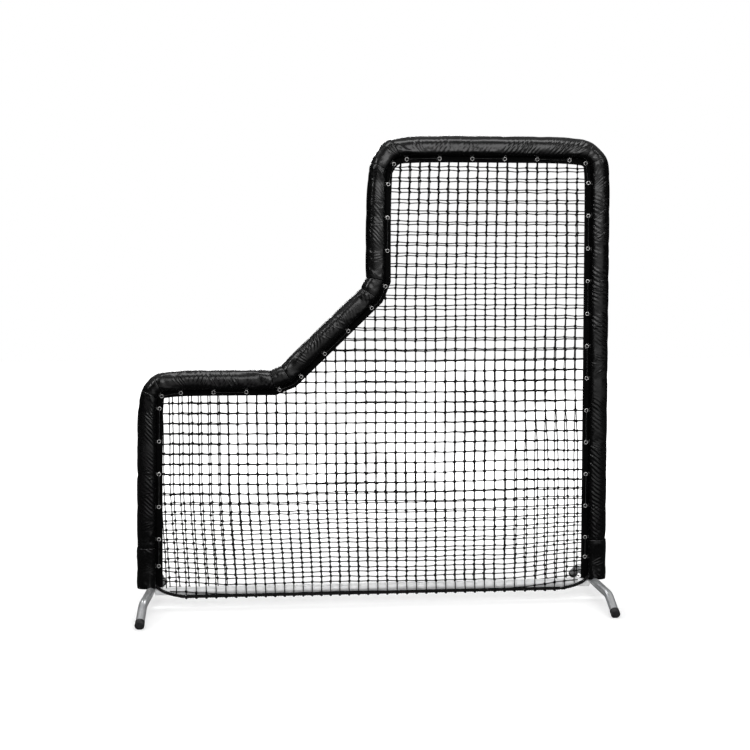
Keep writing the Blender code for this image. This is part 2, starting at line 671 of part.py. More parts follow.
net = group("netting", Vector((0, 0, 0)))
low_knee = inset_corner(LOW_CORNER, NOTCH_LOW, NOTCH_HIGH, net_inset)
high_knee = inset_corner(NOTCH_LOW, NOTCH_HIGH, TOP_LEFT, net_inset)
net_side = half_span - net_inset
net_low_top = low_z - net_inset
split = LAYER_GAP / 2
ROWS_LOW = round((net_low_top - net_bottom) / (NET_MESH * NET_SKIP))
row_pitch = (net_low_top - net_bottom) / ROWS_LOW
low_corner_cut = [Vector((net_side - run, net_bottom + rise)) for run, rise in NET_CORNER]
left_cut = [Vector((-p.x, p.y)) for p in low_corner_cut]
gore_ends = [(place + out * net_inset).xz for place, out in seams]
left_outline = [*left_cut, *gore_ends[1:3], Vector((low_knee.x - split, net_low_top)),
                Vector((low_knee.x - split, net_bottom))]
middle_outline = [Vector((low_knee.x + split, net_bottom)), Vector((low_knee.x + split, low_knee.z)),
                  Vector((high_knee.x - split, high_knee.z)),
                  Vector((high_knee.x - split, net_bottom))]
right_outline = [Vector((high_knee.x + split, net_bottom)), *gore_ends[7:11],
                 *reversed(low_corner_cut)]
for layer, way in (("front", -1), ("back", 1)):
    net_panel(layer + "_net_left", left_outline, row_pitch, way, net)
    net_panel(layer + "_net_middle", middle_outline, row_pitch, way, net)
    net_panel(layer + "_net_right", right_outline, row_pitch, way, net)


def cord(name, route, radius, color, parent):
    """A cord along a row of places, as a bevelled curve with filled ends."""
    curve = bpy.data.curves.new(name, "CURVE")
    curve.dimensions = "3D"
    curve.bevel_depth = radius
    curve.bevel_resolution = 2
    curve.use_fill_caps = True
    spline = curve.splines.new("POLY")
    spline.points.add(len(route) - 1)
    for point, place in zip(spline.points, route):
        point.co = (*(place - route[0]), 1.0)
    obj = bpy.data.objects.new(name, curve)
    bpy.context.scene.collection.objects.link(obj)
    obj.parent = parent
    obj.location = route[0]
    curve.materials.append(finish(name, color, 0.7))
    return obj


def rope_route(way):
    """The border rope: down from the flap at one side, under the rail, and up at the other."""
    rope_gap = ROPE_RADIUS + SEAT_GAP
    foot_corner, knee = low_corner_cut[:2]
    slant = (knee - foot_corner).normalized()
    outside = Vector((slant.y, -slant.x))
    rise = [foot_corner.lerp(knee, s) + outside * rope_gap for s in ROPE_STEPS]
    down = Vector((0, -1))
    mitre = (outside + down).normalized()
    flat_x = foot_corner.x + mitre.x * rope_gap / mitre.dot(down)
    count = max(2, round(2 * flat_x / ROPE_SPACING))
    flat = [Vector((flat_x - 2 * flat_x * i / count, ROPE_HEIGHT)) for i in range(count + 1)]
    right = rise + flat
    whole = right + [Vector((-p.x, p.y)) for p in reversed(rise)]
    return [Vector((p.x, way * flare_at(0, max(p.y, net_bottom)), p.y)) for p in whole]


cord("front_border_rope", rope_route(-1), ROPE_RADIUS, (0.02, 0.02, 0.02), net)
cord("back_border_rope", rope_route(1), ROPE_RADIUS, (0.02, 0.02, 0.02), net)


def lace_route():
    """The lacing: a running stitch through every pair of eyelets, with a short tail at each end."""
    lift = flap_half + LACE_RADIUS + 2 * SEAT_GAP
    route = []
    side = 1
    for i, spot in enumerate(stops):
        if spot in guides:
            route.append(spot + DEPTH * lift * side)
            continue
        into = (spot - stops[i - 1]).normalized() if i else UP
        out = (stops[i + 1] - spot).normalized() if i < len(stops) - 1 else -UP
        route.append(spot - into * LACE_STEP + DEPTH * lift * side)
        route.append(spot + out * LACE_STEP - DEPTH * lift * side)
        side = -side

    def tail(spot, side):
        return [Vector((spot.x, tail_back * side, TAIL_END)),
                Vector((spot.x, tail_back * side, pad_bottom)),
                Vector((spot.x, (lift + LACE_RADIUS) * side, spot.z - lace_line))]

    return tail(eyelets[0], 1) + route + tail(eyelets[-1], side)[::-1]


cord("lacing_cord", lace_route(), LACE_RADIUS, (0.02, 0.02, 0.02), pads)
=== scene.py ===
import math
import random

import bmesh
import bpy
from mathutils import Matrix, Vector, noise
from mathutils.geometry import intersect_point_line


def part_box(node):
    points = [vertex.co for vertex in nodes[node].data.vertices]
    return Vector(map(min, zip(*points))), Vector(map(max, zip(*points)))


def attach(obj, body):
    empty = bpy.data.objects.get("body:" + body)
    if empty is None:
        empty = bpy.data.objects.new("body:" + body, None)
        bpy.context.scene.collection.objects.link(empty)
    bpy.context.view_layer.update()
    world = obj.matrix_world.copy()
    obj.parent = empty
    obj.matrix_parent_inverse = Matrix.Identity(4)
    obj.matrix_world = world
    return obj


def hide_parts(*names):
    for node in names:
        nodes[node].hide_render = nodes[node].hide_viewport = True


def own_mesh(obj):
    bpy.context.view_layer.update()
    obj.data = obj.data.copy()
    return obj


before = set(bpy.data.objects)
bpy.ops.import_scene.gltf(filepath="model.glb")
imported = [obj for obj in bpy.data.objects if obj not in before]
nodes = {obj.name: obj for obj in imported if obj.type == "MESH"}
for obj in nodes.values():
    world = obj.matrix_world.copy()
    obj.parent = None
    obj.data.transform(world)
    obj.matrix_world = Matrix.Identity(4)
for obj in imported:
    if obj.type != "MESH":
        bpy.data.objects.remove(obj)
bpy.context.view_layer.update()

scene = bpy.context.scene
scene.view_settings.view_transform = "Standard"

# ---------------------------------------------------------------- viewpoint, floor and light
# The camera stands about five and a half metres in front of the screen, a little to its low side.
# The floor and the world read as a white studio; the floor keeps the feet's shadows.
CAMERA_PLACE = Vector((-0.3336, -5.4444, 1.3485))
CAMERA_YAW = 0.0832
CAMERA_PITCH = 0.0824
CAMERA_ROLL = -0.0027
CAMERA_LENS = 56.058
CAMERA_SHIFT = (-0.0339, 0.0499)
FLOOR_HALF = 30.0
WORLD_LIGHT = 0.52
FLOOR_GLOW = (0.34, 1.0)
FLOOR_FADE = (1.4, 4.5)
FLOOR_COLOUR = (0.80, 0.80, 0.80, 1)
STUDIO_SIDE = (0.24, -0.97, 0.0)
STUDIO_WALL = (0.84, 0.99, 0.010, 0.75)
STUDIO_CEILING = (0.20, 0.90, 0.012, 0.42)
STUDIO_SKIRT = (-0.36, -0.20, 0.0, 1.0)
FLOOR_MASK = 0.97
FLOOR_CARD = (2.5, 9.0, 0.0, 0.40)
WHITE = (1, 1, 1, 1)

ahead = Vector((math.sin(CAMERA_YAW) * math.cos(CAMERA_PITCH),
                math.cos(CAMERA_YAW) * math.cos(CAMERA_PITCH), -math.sin(CAMERA_PITCH)))
level = Vector((math.cos(CAMERA_YAW), -math.sin(CAMERA_YAW), 0))
above = level.cross(ahead)
right = level * math.cos(CAMERA_ROLL) + above * math.sin(CAMERA_ROLL)
upright = above * math.cos(CAMERA_ROLL) - level * math.sin(CAMERA_ROLL)
camera = bpy.data.objects.new("camera", bpy.data.cameras.new("camera"))
camera.data.lens = CAMERA_LENS
camera.data.shift_x, camera.data.shift_y = CAMERA_SHIFT
camera.matrix_world = (Matrix.Translation(CAMERA_PLACE)
                       @ Matrix((right, upright, -ahead)).transposed().to_4x4())
scene.collection.objects.link(camera)
scene.camera = camera

for name, place, target, size, power in (
        ("key_softbox", (0.5, -5.2, 3.5), (0, 0, 1.2), (5.0, 1.6), 75),
        ("back_softbox", (-0.5, 4.8, 3.9), (0, 0, 1.2), (4.2, 1.1), 150),
        ("overhead_softbox", (0, -1.5, 5.2), (0, -1.5, 0), (4.6, 1.2), 80),
        ("left_strip", (-4.6, -3.4, 4.4), (0, 0, 1.2), (0.5, 1.8), 36),
        ("right_strip", (4.6, -3.4, 4.4), (0, 0, 1.2), (0.5, 1.8), 18)):
    lamp = bpy.data.lights.new(name, "AREA")
    lamp.shape = "RECTANGLE"
    lamp.size, lamp.size_y = size
    lamp.energy = power
    stand = bpy.data.objects.new(name, lamp)
    stand.location = place
    stand.rotation_euler = (Vector(target) - Vector(place)).to_track_quat("-Z", "Y").to_euler()
    scene.collection.objects.link(stand)


def wired(tree, kind, *first, **named):
    """Adds a node. Its arguments are links or values of inputs, or settings in small letters."""
    node = tree.nodes.new(kind if "Node" in kind else tree.bl_idname.removesuffix("Tree") + kind)
    settings = [name for name in named if name[0].islower()]
    for name in settings:
        setattr(node, name, named.pop(name))
    inputs = [*enumerate(first), *((name.replace("_", " "), source) for name, source in named.items())]
    for key, source in inputs:
        if isinstance(source, bpy.types.Node):
            source = source.outputs[0]
        if isinstance(source, bpy.types.NodeSocket):
            tree.links.new(source, node.inputs[key])
        else:
            node.inputs[key].default_value = source
    return node


def seen_rays(tree):
    """One where a camera, glossy or transmission ray looks, for the white studio."""
    path = wired(tree, "LightPath").outputs
    looks = wired(tree, "Math", path["Is Camera Ray"], path["Is Glossy Ray"], operation="MAXIMUM")
    return wired(tree, "Math", looks, path["Is Transmission Ray"], operation="MAXIMUM")


def soft_step(tree, source, low, high, start=0.0, end=1.0):
    """A soft step of a value, from start at low to end at high."""
    return wired(tree, "MapRange", source, From_Min=low, From_Max=high, To_Min=start, To_Max=end,
                 interpolation_type="SMOOTHSTEP")


def placed(name, form, *paints):
    """An object at the origin from a mesh or a bmesh, in the given materials."""
    mesh = form
    if isinstance(form, bmesh.types.BMesh):
        mesh = bpy.data.meshes.new(name)
        form.to_mesh(mesh)
        form.free()
    for paint in paints:
        mesh.materials.append(paint)
    obj = bpy.data.objects.new(name, mesh)
    scene.collection.objects.link(obj)
    return obj


world = bpy.data.worlds.new("studio")
world.use_nodes = True
scene.world = world
shade = world.node_tree
fill = shade.nodes["Background"]
fill.inputs["Color"].default_value = WHITE
fill.inputs["Strength"].default_value = WORLD_LIGHT
look = wired(shade, "TexCoord").outputs["Generated"]
height = wired(shade, "SeparateXYZ", look).outputs["Z"]
aside = wired(shade, "VectorMath", look, STUDIO_SIDE, operation="DOT_PRODUCT").outputs["Value"]
bands = wired(shade, "Math", soft_step(shade, aside, *STUDIO_WALL),
              soft_step(shade, height, *STUDIO_CEILING), operation="MAXIMUM")
skirted = wired(shade, "Math", bands, soft_step(shade, height, *STUDIO_SKIRT), operation="MULTIPLY")
strength = wired(shade, "Mix", Factor=wired(shade, "LightPath").outputs["Is Glossy Ray"], A=1, B=skirted)
studio = wired(shade, "MixShader", seen_rays(shade), fill, wired(shade, "Background", WHITE, strength))
shade.links.new(studio.outputs[0], shade.nodes["World Output"].inputs["Surface"])

floor_paint = bpy.data.materials.new("studio_floor")
floor_paint.use_nodes = True
shade = floor_paint.node_tree
shade.nodes.remove(shade.nodes["Principled BSDF"])
place = wired(shade, "TexCoord").outputs["Object"]
distance = wired(shade, "VectorMath", place, operation="LENGTH").outputs["Value"]
fade = wired(shade, "MapRange", distance, *FLOOR_FADE, *FLOOR_GLOW)
glow = wired(shade, "Emission", WHITE, wired(shade, "Math", seen_rays(shade), fade, operation="MULTIPLY"))
lit = wired(shade, "AddShader", wired(shade, "BsdfDiffuse", FLOOR_COLOUR), glow)
aside = wired(shade, "VectorMath", place, STUDIO_SIDE, operation="DOT_PRODUCT").outputs["Value"]
card = wired(shade, "Emission", WHITE, soft_step(shade, aside, *FLOOR_CARD))
share = wired(shade, "Math", wired(shade, "LightPath").outputs["Is Glossy Ray"], FLOOR_MASK,
              operation="MULTIPLY")
masked = wired(shade, "MixShader", share, lit, card)
shade.links.new(masked.outputs[0], shade.nodes["Material Output"].inputs["Surface"])
ground = bmesh.new()
bmesh.ops.create_grid(ground, x_segments=2, y_segments=2, size=FLOOR_HALF)
placed("floor", ground, floor_paint)

# ---------------------------------------------------------------- feet
# Each foot is a short tee of galvanised tube with a bowed leg slipped on at its front and back.
# A nickel snap button, pushed up by a bent leaf spring, locks each leg; rubber caps end them.
ACROSS = Vector((1, 0, 0))
DEPTH = Vector((0, 1, 0))
UP = Vector((0, 0, 1))
FRAME_SPAN = 2.134
TUBE_RADIUS = 0.01905
TUBE_WALL = 0.00165
SLIP_CLEARANCE = 0.00035
SEAT_GAP = 0.0003
SPIGOT_LENGTH = 0.060
SWAGE_TAPER = 0.004
TUBE_SIDES = 40
FOOT_HEIGHT = 0.078
TEE_LENGTH = 0.104
LEG_REACH = 0.420
LEG_RADIUS = 0.0195
LEG_BEND_RADIUS = 0.120
LEG_BEND_STEPS = 10
LEG_DROP = math.radians(26)
CAP_WALL = 0.0013
CAP_LENGTH = 0.026
CAP_END = 0.0045
CAP_DOME = 0.0012
SOLE_CUT = 0.0025
BUTTON_RADIUS = 0.0040
BUTTON_INSET = 0.024
BUTTON_PROUD = 0.0030
FLANGE = 0.0015
DRILL_DEPTH = 1.8 * TUBE_RADIUS
SPRING_THICKNESS = 0.0007
SPRING_NOSE = 0.0016
SPRING_HEEL = 0.002
SHARP_EDGE = math.radians(38)
HALF_SPAN = FRAME_SPAN / 2 - TUBE_RADIUS
bore_radius = TUBE_RADIUS - TUBE_WALL
spigot_radius = bore_radius - SLIP_CLEARANCE
spigot_bore = spigot_radius - TUBE_WALL


def shader_of(name, colour, roughness, metallic=0.0, gloss=0.5):
    """A new material; returns it with its Principled shader."""
    paint = bpy.data.materials.new(name)
    paint.use_nodes = True
    shader = paint.node_tree.nodes["Principled BSDF"]
    for socket, value in (("Base Color", (*colour, 1)), ("Roughness", roughness), ("Metallic", metallic),
                          ("Specular IOR Level", gloss)):
        shader.inputs[socket].default_value = value
    return paint, shader


def pattern(shader, kind, scale, stretch=(1, 1, 1), source="Object", turn=0.0, place=0.0, **settings):
    """A noise, voronoi or wave texture on the piece's own coordinates; returns its node."""
    tree = shader.id_data
    turned = wired(tree, "Mapping", wired(tree, "TexCoord").outputs[source], Rotation=(0, 0, turn),
                   Location=(place, place, place))
    stretched = wired(tree, "Mapping", turned, Scale=stretch)
    return wired(tree, "Tex" + kind, Vector=stretched, Scale=scale, **settings)


def tinted(shader, source, *stops):
    """Colours a shader by a texture value through a ramp of (place, colour) stops."""
    ramp = wired(shader.id_data, "ValToRGB", source)
    while len(ramp.color_ramp.elements) < len(stops):
        ramp.color_ramp.elements.new(0.5)
    for element, (place, colour) in zip(ramp.color_ramp.elements, stops):
        element.position = place
        element.color = (*colour, 1)
    shader.id_data.links.new(ramp.outputs[0], shader.inputs["Base Color"])


def rubbed(shader, source, low, high):
    """Spreads a shader's roughness from low to high by a texture value."""
    span = wired(shader.id_data, "MapRange", source, To_Min=low, To_Max=high)
    shader.id_data.links.new(span.outputs[0], shader.inputs["Roughness"])


def relief(shader, *layers):
    """Bump from (texture value, strength, height) layers, one over the other."""
    below = {}
    for source, strength, height in layers:
        below = {"Normal": wired(shader.id_data, "Bump", Strength=strength, Distance=height,
                                 Height=source, **below)}
    shader.id_data.links.new(below["Normal"].outputs[0], shader.inputs["Normal"])


galvanised, shader = shader_of("galvanised_tube", (0.6, 0.61, 0.62), 0.34, 0.7)
cloudy = pattern(shader, "Noise", 22, Detail=5, Roughness=0.6)
drawn = pattern(shader, "Noise", 900, (1, 0.06, 1), Detail=3)
tinted(shader, cloudy, (0.30, (0.52, 0.53, 0.545)), (0.52, (0.67, 0.68, 0.69)), (0.75, (0.78, 0.79, 0.795)))
rubbed(shader, pattern(shader, "Voronoi", 190, (1, 1, 0.55)), 0.26, 0.44)
relief(shader, (cloudy, 0.25, 0.0006), (drawn, 0.12, 0.00015))

# Painted highlight: the rail and its stubs are the same galvanised tube as the legs, given a near-white
# colour for the bright light on them.
rail_painted_bright, shader = shader_of("rail_painted_highlight", (0.94, 0.94, 0.945), 0.45, 0.05)
bloom = pattern(shader, "Noise", 26, (0.3, 1, 1), Detail=5, Roughness=0.6)
tinted(shader, bloom, (0.32, (0.84, 0.845, 0.855)), (0.6, (0.96, 0.96, 0.962)))
rubbed(shader, bloom, 0.34, 0.5)
relief(shader, (bloom, 0.2, 0.0005))

spring_steel, shader = shader_of("spring_steel", (0.42, 0.43, 0.46), 0.3, 1.0)
heat = pattern(shader, "Noise", 160, Detail=4)
tinted(shader, heat, (0.3, (0.33, 0.33, 0.38)), (0.7, (0.50, 0.50, 0.52)))
relief(shader, (heat, 0.15, 0.0001))

rubber, shader = shader_of("rubber_cap", (0.018, 0.018, 0.019), 0.62, gloss=0.35)
grime = pattern(shader, "Noise", 55, Detail=6, Roughness=0.65)
tinted(shader, grime, (0.35, (0.012, 0.012, 0.013)), (0.62, (0.026, 0.026, 0.027)),
       (0.8, (0.060, 0.058, 0.055)))
rubbed(shader, grime, 0.5, 0.78)
relief(shader, (pattern(shader, "Noise", 1400, Detail=2), 0.3, 0.0002), (grime, 0.2, 0.0005))

nickel, shader = shader_of("nickel_button", (0.76, 0.75, 0.73), 0.2, 1.0)
rub = pattern(shader, "Noise", 420, Detail=4)
rubbed(shader, rub, 0.12, 0.34)
tinted(shader, rub, (0.3, (0.66, 0.65, 0.63)), (0.7, (0.82, 0.81, 0.79)))


def solid(name, bm, paint, slot, *replaced, body="screen"):
    """Turns a bmesh into a finished piece on a body, in place of CAD nodes."""
    bmesh.ops.remove_doubles(bm, verts=bm.verts, dist=1e-6)
    bmesh.ops.recalc_face_normals(bm, faces=bm.faces)
    obj = placed(name, bm, paint)
    obj.data.shade_smooth()
    obj.data.set_sharp_from_angle(angle=SHARP_EDGE)
    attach(obj, body)
    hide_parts(*replaced)
    return obj


def repainted(name, paint):
    """Gives a CAD node that stays its finish."""
    nodes[name].data.materials.clear()
    nodes[name].data.materials.append(paint)


def plain_mesh(obj, modifier):
    """Puts what a modifier makes of an object in place of its mesh, and removes the modifier."""
    mesh = bpy.data.meshes.new_from_object(obj.evaluated_get(bpy.context.evaluated_depsgraph_get()))
    obj.modifiers.remove(modifier)
    obj.data = mesh


def ring(centre, axis, radius, sides, ref):
    """Points of a circle round an axis, the first one in the direction ref."""
    side = axis.normalized().cross(ref)
    turns = [2 * math.pi * i / sides for i in range(sides)]
    return [centre + radius * (ref * math.cos(a) + side * math.sin(a)) for a in turns]


def skin(loops, closed=False):
    """Joins loops of points with faces; an open row of loops gets a cap at each end."""
    bm = bmesh.new()
    rows = [[bm.verts.new(p) for p in loop] for loop in loops]
    pairs = list(zip(rows, rows[1:])) + ([(rows[-1], rows[0])] if closed else [])
    for row, after in pairs:
        for i in range(len(row)):
            j = (i + 1) % len(row)
            bm.faces.new((row[i], row[j], after[j], after[i]))
    if not closed:
        bm.faces.new(rows[0])
        bm.faces.new(rows[-1])
    return bm


def tube(stations, ref=ACROSS):
    """A tube through (place, heading, outer radius, bore) stations."""
    rings = [ring(p, d, r, TUBE_SIDES, ref) for p, d, r, _ in stations]
    return skin(rings + [ring(p, d, b, TUBE_SIDES, ref) for p, d, _, b in reversed(stations)], closed=True)


def drilled(obj, seats, radius):
    """Drills round holes down into the top of a tube at the given places."""
    for seat in seats:
        drill = placed("drill", skin([ring(seat + UP * 2 * TUBE_RADIUS + UP * h, UP, radius, 20, ACROSS)
                                      for h in (-DRILL_DEPTH, DRILL_DEPTH)]))
        bore = obj.modifiers.new("bore", "BOOLEAN")
        bore.operation = "DIFFERENCE"
        bore.solver = "EXACT"
        bore.object = drill
        plain_mesh(obj, bore)
        bpy.data.objects.remove(drill)


toe_z = (LEG_RADIUS + SEAT_GAP + CAP_WALL) * math.cos(LEG_DROP) - SOLE_CUT
knee_to_toe = (FOOT_HEIGHT - toe_z) / math.sin(LEG_DROP)
knee_reach = LEG_REACH - knee_to_toe * math.cos(LEG_DROP)
half_tee = TEE_LENGTH / 2
cap_bore = LEG_RADIUS + SEAT_GAP
cap_radius = cap_bore + CAP_WALL
lip = CAP_WALL / 4
cap_profile = [(cap_bore, -CAP_END), (cap_bore, -CAP_LENGTH + lip), (cap_bore + lip / 2, -CAP_LENGTH),
               (cap_radius - lip, -CAP_LENGTH), (cap_radius, -CAP_LENGTH + lip),
               (cap_radius, -CAP_LENGTH + 4 * lip), (cap_radius - lip, -CAP_LENGTH + 5 * lip),
               (cap_radius - lip, -CAP_LENGTH * 0.55), (cap_radius, -CAP_LENGTH * 0.5),
               (cap_radius, -2 * CAP_DOME), (cap_radius - CAP_DOME / 2, -CAP_DOME / 2),
               (cap_radius - 2 * CAP_DOME, 0)]
for side, x in (("left", -HALF_SPAN), ("right", HALF_SPAN)):
    base = Vector((x, 0, FOOT_HEIGHT))
    necks = [(half_tee + SWAGE_TAPER + SPIGOT_LENGTH, spigot_radius, spigot_bore),
             (half_tee + SWAGE_TAPER, spigot_radius, spigot_bore), (half_tee, TUBE_RADIUS, bore_radius)]
    sizes = [(-d, r, b) for d, r, b in necks] + [(d, r, b) for d, r, b in reversed(necks)]
    seats = [base + DEPTH * way * (half_tee + SWAGE_TAPER + BUTTON_INSET) for way in (-1, 1)]
    tee = solid(side + "_tee_tube", tube([(base + DEPTH * d, DEPTH, r, b) for d, r, b in sizes]), galvanised,
                "galvanised_tube", side + "_foot_tee")
    drilled(tee, seats, BUTTON_RADIUS + SEAT_GAP)
    for end, way, seat in (("front", -1, seats[0]), ("rear", 1, seats[1])):
        name = side + "_" + end
        out = DEPTH * way
        drop = (out * math.cos(LEG_DROP) - UP * math.sin(LEG_DROP)).normalized()
        toe = base + out * LEG_REACH + UP * (toe_z - FOOT_HEIGHT)
        knee = base + out * knee_reach
        bend_start = knee - out * LEG_BEND_RADIUS * math.tan(LEG_DROP / 2)
        centre = bend_start - UP * LEG_BEND_RADIUS
        stations = [(base + out * (half_tee + SWAGE_TAPER + SEAT_GAP), out)]
        for i in range(LEG_BEND_STEPS + 1):
            spin = Matrix.Rotation(LEG_DROP * i / LEG_BEND_STEPS, 3, out.cross(-UP))
            stations.append((centre + spin @ (bend_start - centre), spin @ out))
        stations.append((toe - drop * (CAP_END + SEAT_GAP), drop))
        leg = solid(name + "_bowed_leg", tube([(p, d, LEG_RADIUS, bore_radius) for p, d in stations]),
                    galvanised, "galvanised_tube", name + "_leg")
        drilled(leg, [seat], BUTTON_RADIUS + 2 * SEAT_GAP)

        cap = skin([ring(toe + drop * h, drop, r, TUBE_SIDES, ACROSS) for r, h in cap_profile])
        cut = bmesh.ops.bisect_plane(cap, geom=cap.verts[:] + cap.edges[:] + cap.faces[:],
                                     plane_co=(0, 0, 0), plane_no=(0, 0, -1), clear_outer=True)
        bmesh.ops.holes_fill(cap, edges=[e for e in cut["geom_cut"] if isinstance(e, bmesh.types.BMEdge)])
        solid(name + "_rubber_cap", cap, rubber, "rubber_cap", name + "_cap")

        lowest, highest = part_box(name + "_button")
        low, high = lowest.z - FOOT_HEIGHT, highest.z - FOOT_HEIGHT
        flange = (highest.y - lowest.y) / 2
        profile = [(flange, low), (flange, low + FLANGE), (BUTTON_RADIUS, low + FLANGE)]
        profile += [(BUTTON_RADIUS * math.cos(a), high - BUTTON_PROUD + BUTTON_PROUD * math.sin(a))
                    for a in (0, 0.35, 0.7, 1.05, 1.35)]
        solid(name + "_snap_button", skin([ring(seat + UP * h, UP, r, 28, ACROSS) for r, h in profile]),
              nickel, "nickel_button", name + "_button", body=name + "_button")

        lowest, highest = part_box(name + "_spring")
        arm = (highest.z - lowest.z - SPRING_THICKNESS) / 2
        nose = BUTTON_RADIUS - (highest.y - lowest.y) + SPRING_NOSE + SPRING_THICKNESS / 2
        line = [Vector((nose - SPRING_NOSE * math.cos(a), SPRING_NOSE * math.sin(a)))
                for a in (0, 0.4, 0.8, 1.2)]
        line += [Vector((-SPRING_HEEL, 0.97 * arm)), Vector((0, arm)), Vector((BUTTON_RADIUS, arm))]
        line = [Vector((p.x, -p.y)) for p in reversed(line[1:])] + line
        edges = []
        for i, p in enumerate(line):
            run = (line[min(i + 1, len(line) - 1)] - line[max(i - 1, 0)]).normalized()
            edges.append(Vector((-run.y, run.x)) * SPRING_THICKNESS / 2)
        outline = [p + e for p, e in zip(line, edges)] + [p - e for p, e in zip(line, edges)][::-1]
        middle = Vector((seat.x, seat.y, (lowest.z + highest.z) / 2))
        half_width = (highest.x - lowest.x) / 2
        sides = [[middle + out * p.x + UP * p.y + ACROSS * w for p in outline]
                 for w in (-half_width, half_width)]
        leaf = solid(name + "_leaf_spring", skin(sides), spring_steel, "spring_steel", name + "_spring")
        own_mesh(leaf)
    repainted(side + "_upright_stub", galvanised)
    # The rail stubs take the rail's near-white colour, a painted highlight on galvanised tube.
    repainted(side + "_rail_stub", rail_painted_bright)

# ---------------------------------------------------------------- frame tubes and bottom rail
# Five bent galvanised tubes slip together into the L shape inside the pads. The rail between
# the feet is bare; it shows through the net, its galvanised colour painted near white as a painted highlight.
RAIL_HEIGHT = 0.070
for name in ("low_side_tube", "notch_tube", "top_left_tube", "top_right_tube", "high_side_tube"):
    repainted(name, galvanised)
rail_ends = [Vector((end.x, 0, RAIL_HEIGHT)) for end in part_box("bottom_rail")]
solid("bare_rail", tube([(end, ACROSS, TUBE_RADIUS, bore_radius) for end in rail_ends], DEPTH), rail_painted_bright,
      "galvanised_tube", "bottom_rail")

# ---------------------------------------------------------------- foam sleeves
# Closed-cell foam sleeves are pushed over the tubes and butt in the middle of each bend. They
# fill the covers and show only at the pads' feet.
LOW_LINE = 1.060 - TUBE_RADIUS
HIGH_LINE = FRAME_SPAN - TUBE_RADIUS
NOTCH_X = HALF_SPAN - (1.0668 - 2 * TUBE_RADIUS)
NOTCH_RUN = 0.450
NOTCH_RISE = 0.433
PAD_FOOT = 0.09005
FOAM_EASE = 0.0042
GORE_REACH = (0, 0.052, 0.042, 0.042, 0.088, 0.052, 0)
BOWS = ((1, 0.026, 0.021, 0.085, 0.050, 0.0030, 0.040, 1), (4, 0.022, 0.0186, 0.120, 0.080, 0.0060, 0.060, 6),
        (5, 0.024, 0.0165, 0.060, 0.045, 0.0020, 0.020, 1))
BOW_FADE = (0.25, 0.06)
BOW_SIDES = (0.045, -0.030)
BOW_REACH = 0.3
LEAN = (0.16, -0.0055, 0.76, 0.0060)
LEAN_FADE = (0.5, 0.06)
FOAM_CUTS = 8
corner = [Vector((x, 0, z)) for x, z in (
    (-HALF_SPAN, PAD_FOOT), (-HALF_SPAN, LOW_LINE), (NOTCH_X - NOTCH_RUN, LOW_LINE),
    (NOTCH_X, LOW_LINE + NOTCH_RISE), (NOTCH_X, HIGH_LINE), (HALF_SPAN, HIGH_LINE), (HALF_SPAN, PAD_FOOT))]
tube_line = [Vector((-HALF_SPAN, 0, 0)), *corner[1:-1], Vector((HALF_SPAN, 0, 0))]
headings = [(b - a).normalized() for a, b in zip(corner, corner[1:])]


def inward_of(heading):
    """The direction from a run of pad towards the net."""
    return heading.cross(-DEPTH)


def smooth(low, high, value):
    """A soft step from 0 at low to 1 at high."""
    t = min(max((value - low) / (high - low), 0), 1)
    return t * t * (3 - 2 * t)


# Each seam has its place and what one unit of inward distance moves there.
seams = [(corner[0], inward_of(headings[0]))]
for point, reach, before, after in zip(corner[1:-1], GORE_REACH[1:], headings, headings[1:]):
    gore = (before + after).normalized()
    for spot, straight in ((point - before * reach, before), (point + after * reach, after)):
        mitre = (straight + gore).normalized()
        seams.append((spot, inward_of(mitre) / mitre.dot(gore)))
seams.append((corner[-1], inward_of(headings[-1])))


def leaning(place):
    """Where a place hangs with the left side's slight lean."""
    share = min(max((place.z - LEAN[0]) / (LEAN[2] - LEAN[0]), 0), 1)
    lean = LEAN[1] + (LEAN[3] - LEAN[1]) * share
    return place + ACROSS * lean * smooth(LEAN_FADE[0] - HALF_SPAN, LEAN_FADE[1] - HALF_SPAN, place.x)


def bowed(place):
    """Where the frame, rounder at three bends and bowed up its left side, holds a straight place."""
    moved = place.copy()
    for bend, first, second, first_fade, second_fade, crown, slope, late in BOWS:
        before, after = headings[bend - 1], headings[bend]
        gore = inward_of((before + after).normalized())
        from_bend = place - corner[bend]
        inset, outset = from_bend.dot(inward_of(before)), from_bend.dot(inward_of(after))
        mitre = -seams[2 * bend - 1][1].dot(before)
        d1 = -from_bend.dot(before) - GORE_REACH[bend] - mitre * inset
        d2 = from_bend.dot(after) - GORE_REACH[bend] - mitre * outset
        if d1 >= 0 and abs(inset) < BOW_REACH:
            n, one, two, share = inset, math.exp(-d1 / first_fade), 0, 0
        elif d2 >= 0 and abs(outset) < BOW_REACH:
            n, one, two, share = outset, 0, math.exp(-d2 / second_fade), 1
        elif d1 < 0 and d2 < 0:
            share = d1 / (d1 + d2)
            n, one, two = (place - seams[2 * bend - 1][0]).dot(gore), 1 - share, share ** late
        else:
            continue
        pull = (0.4 + 0.6 * smooth(*BOW_SIDES, n)) * smooth(*BOW_FADE, n)
        moved += (inward_of(before) * first * one + inward_of(after) * second * two) * pull
        rise = math.sin(math.pi * share) * (crown + slope * max(0, 0.04 - n)) * smooth(*BOW_FADE, n)
        moved -= gore * rise
    return leaning(moved)


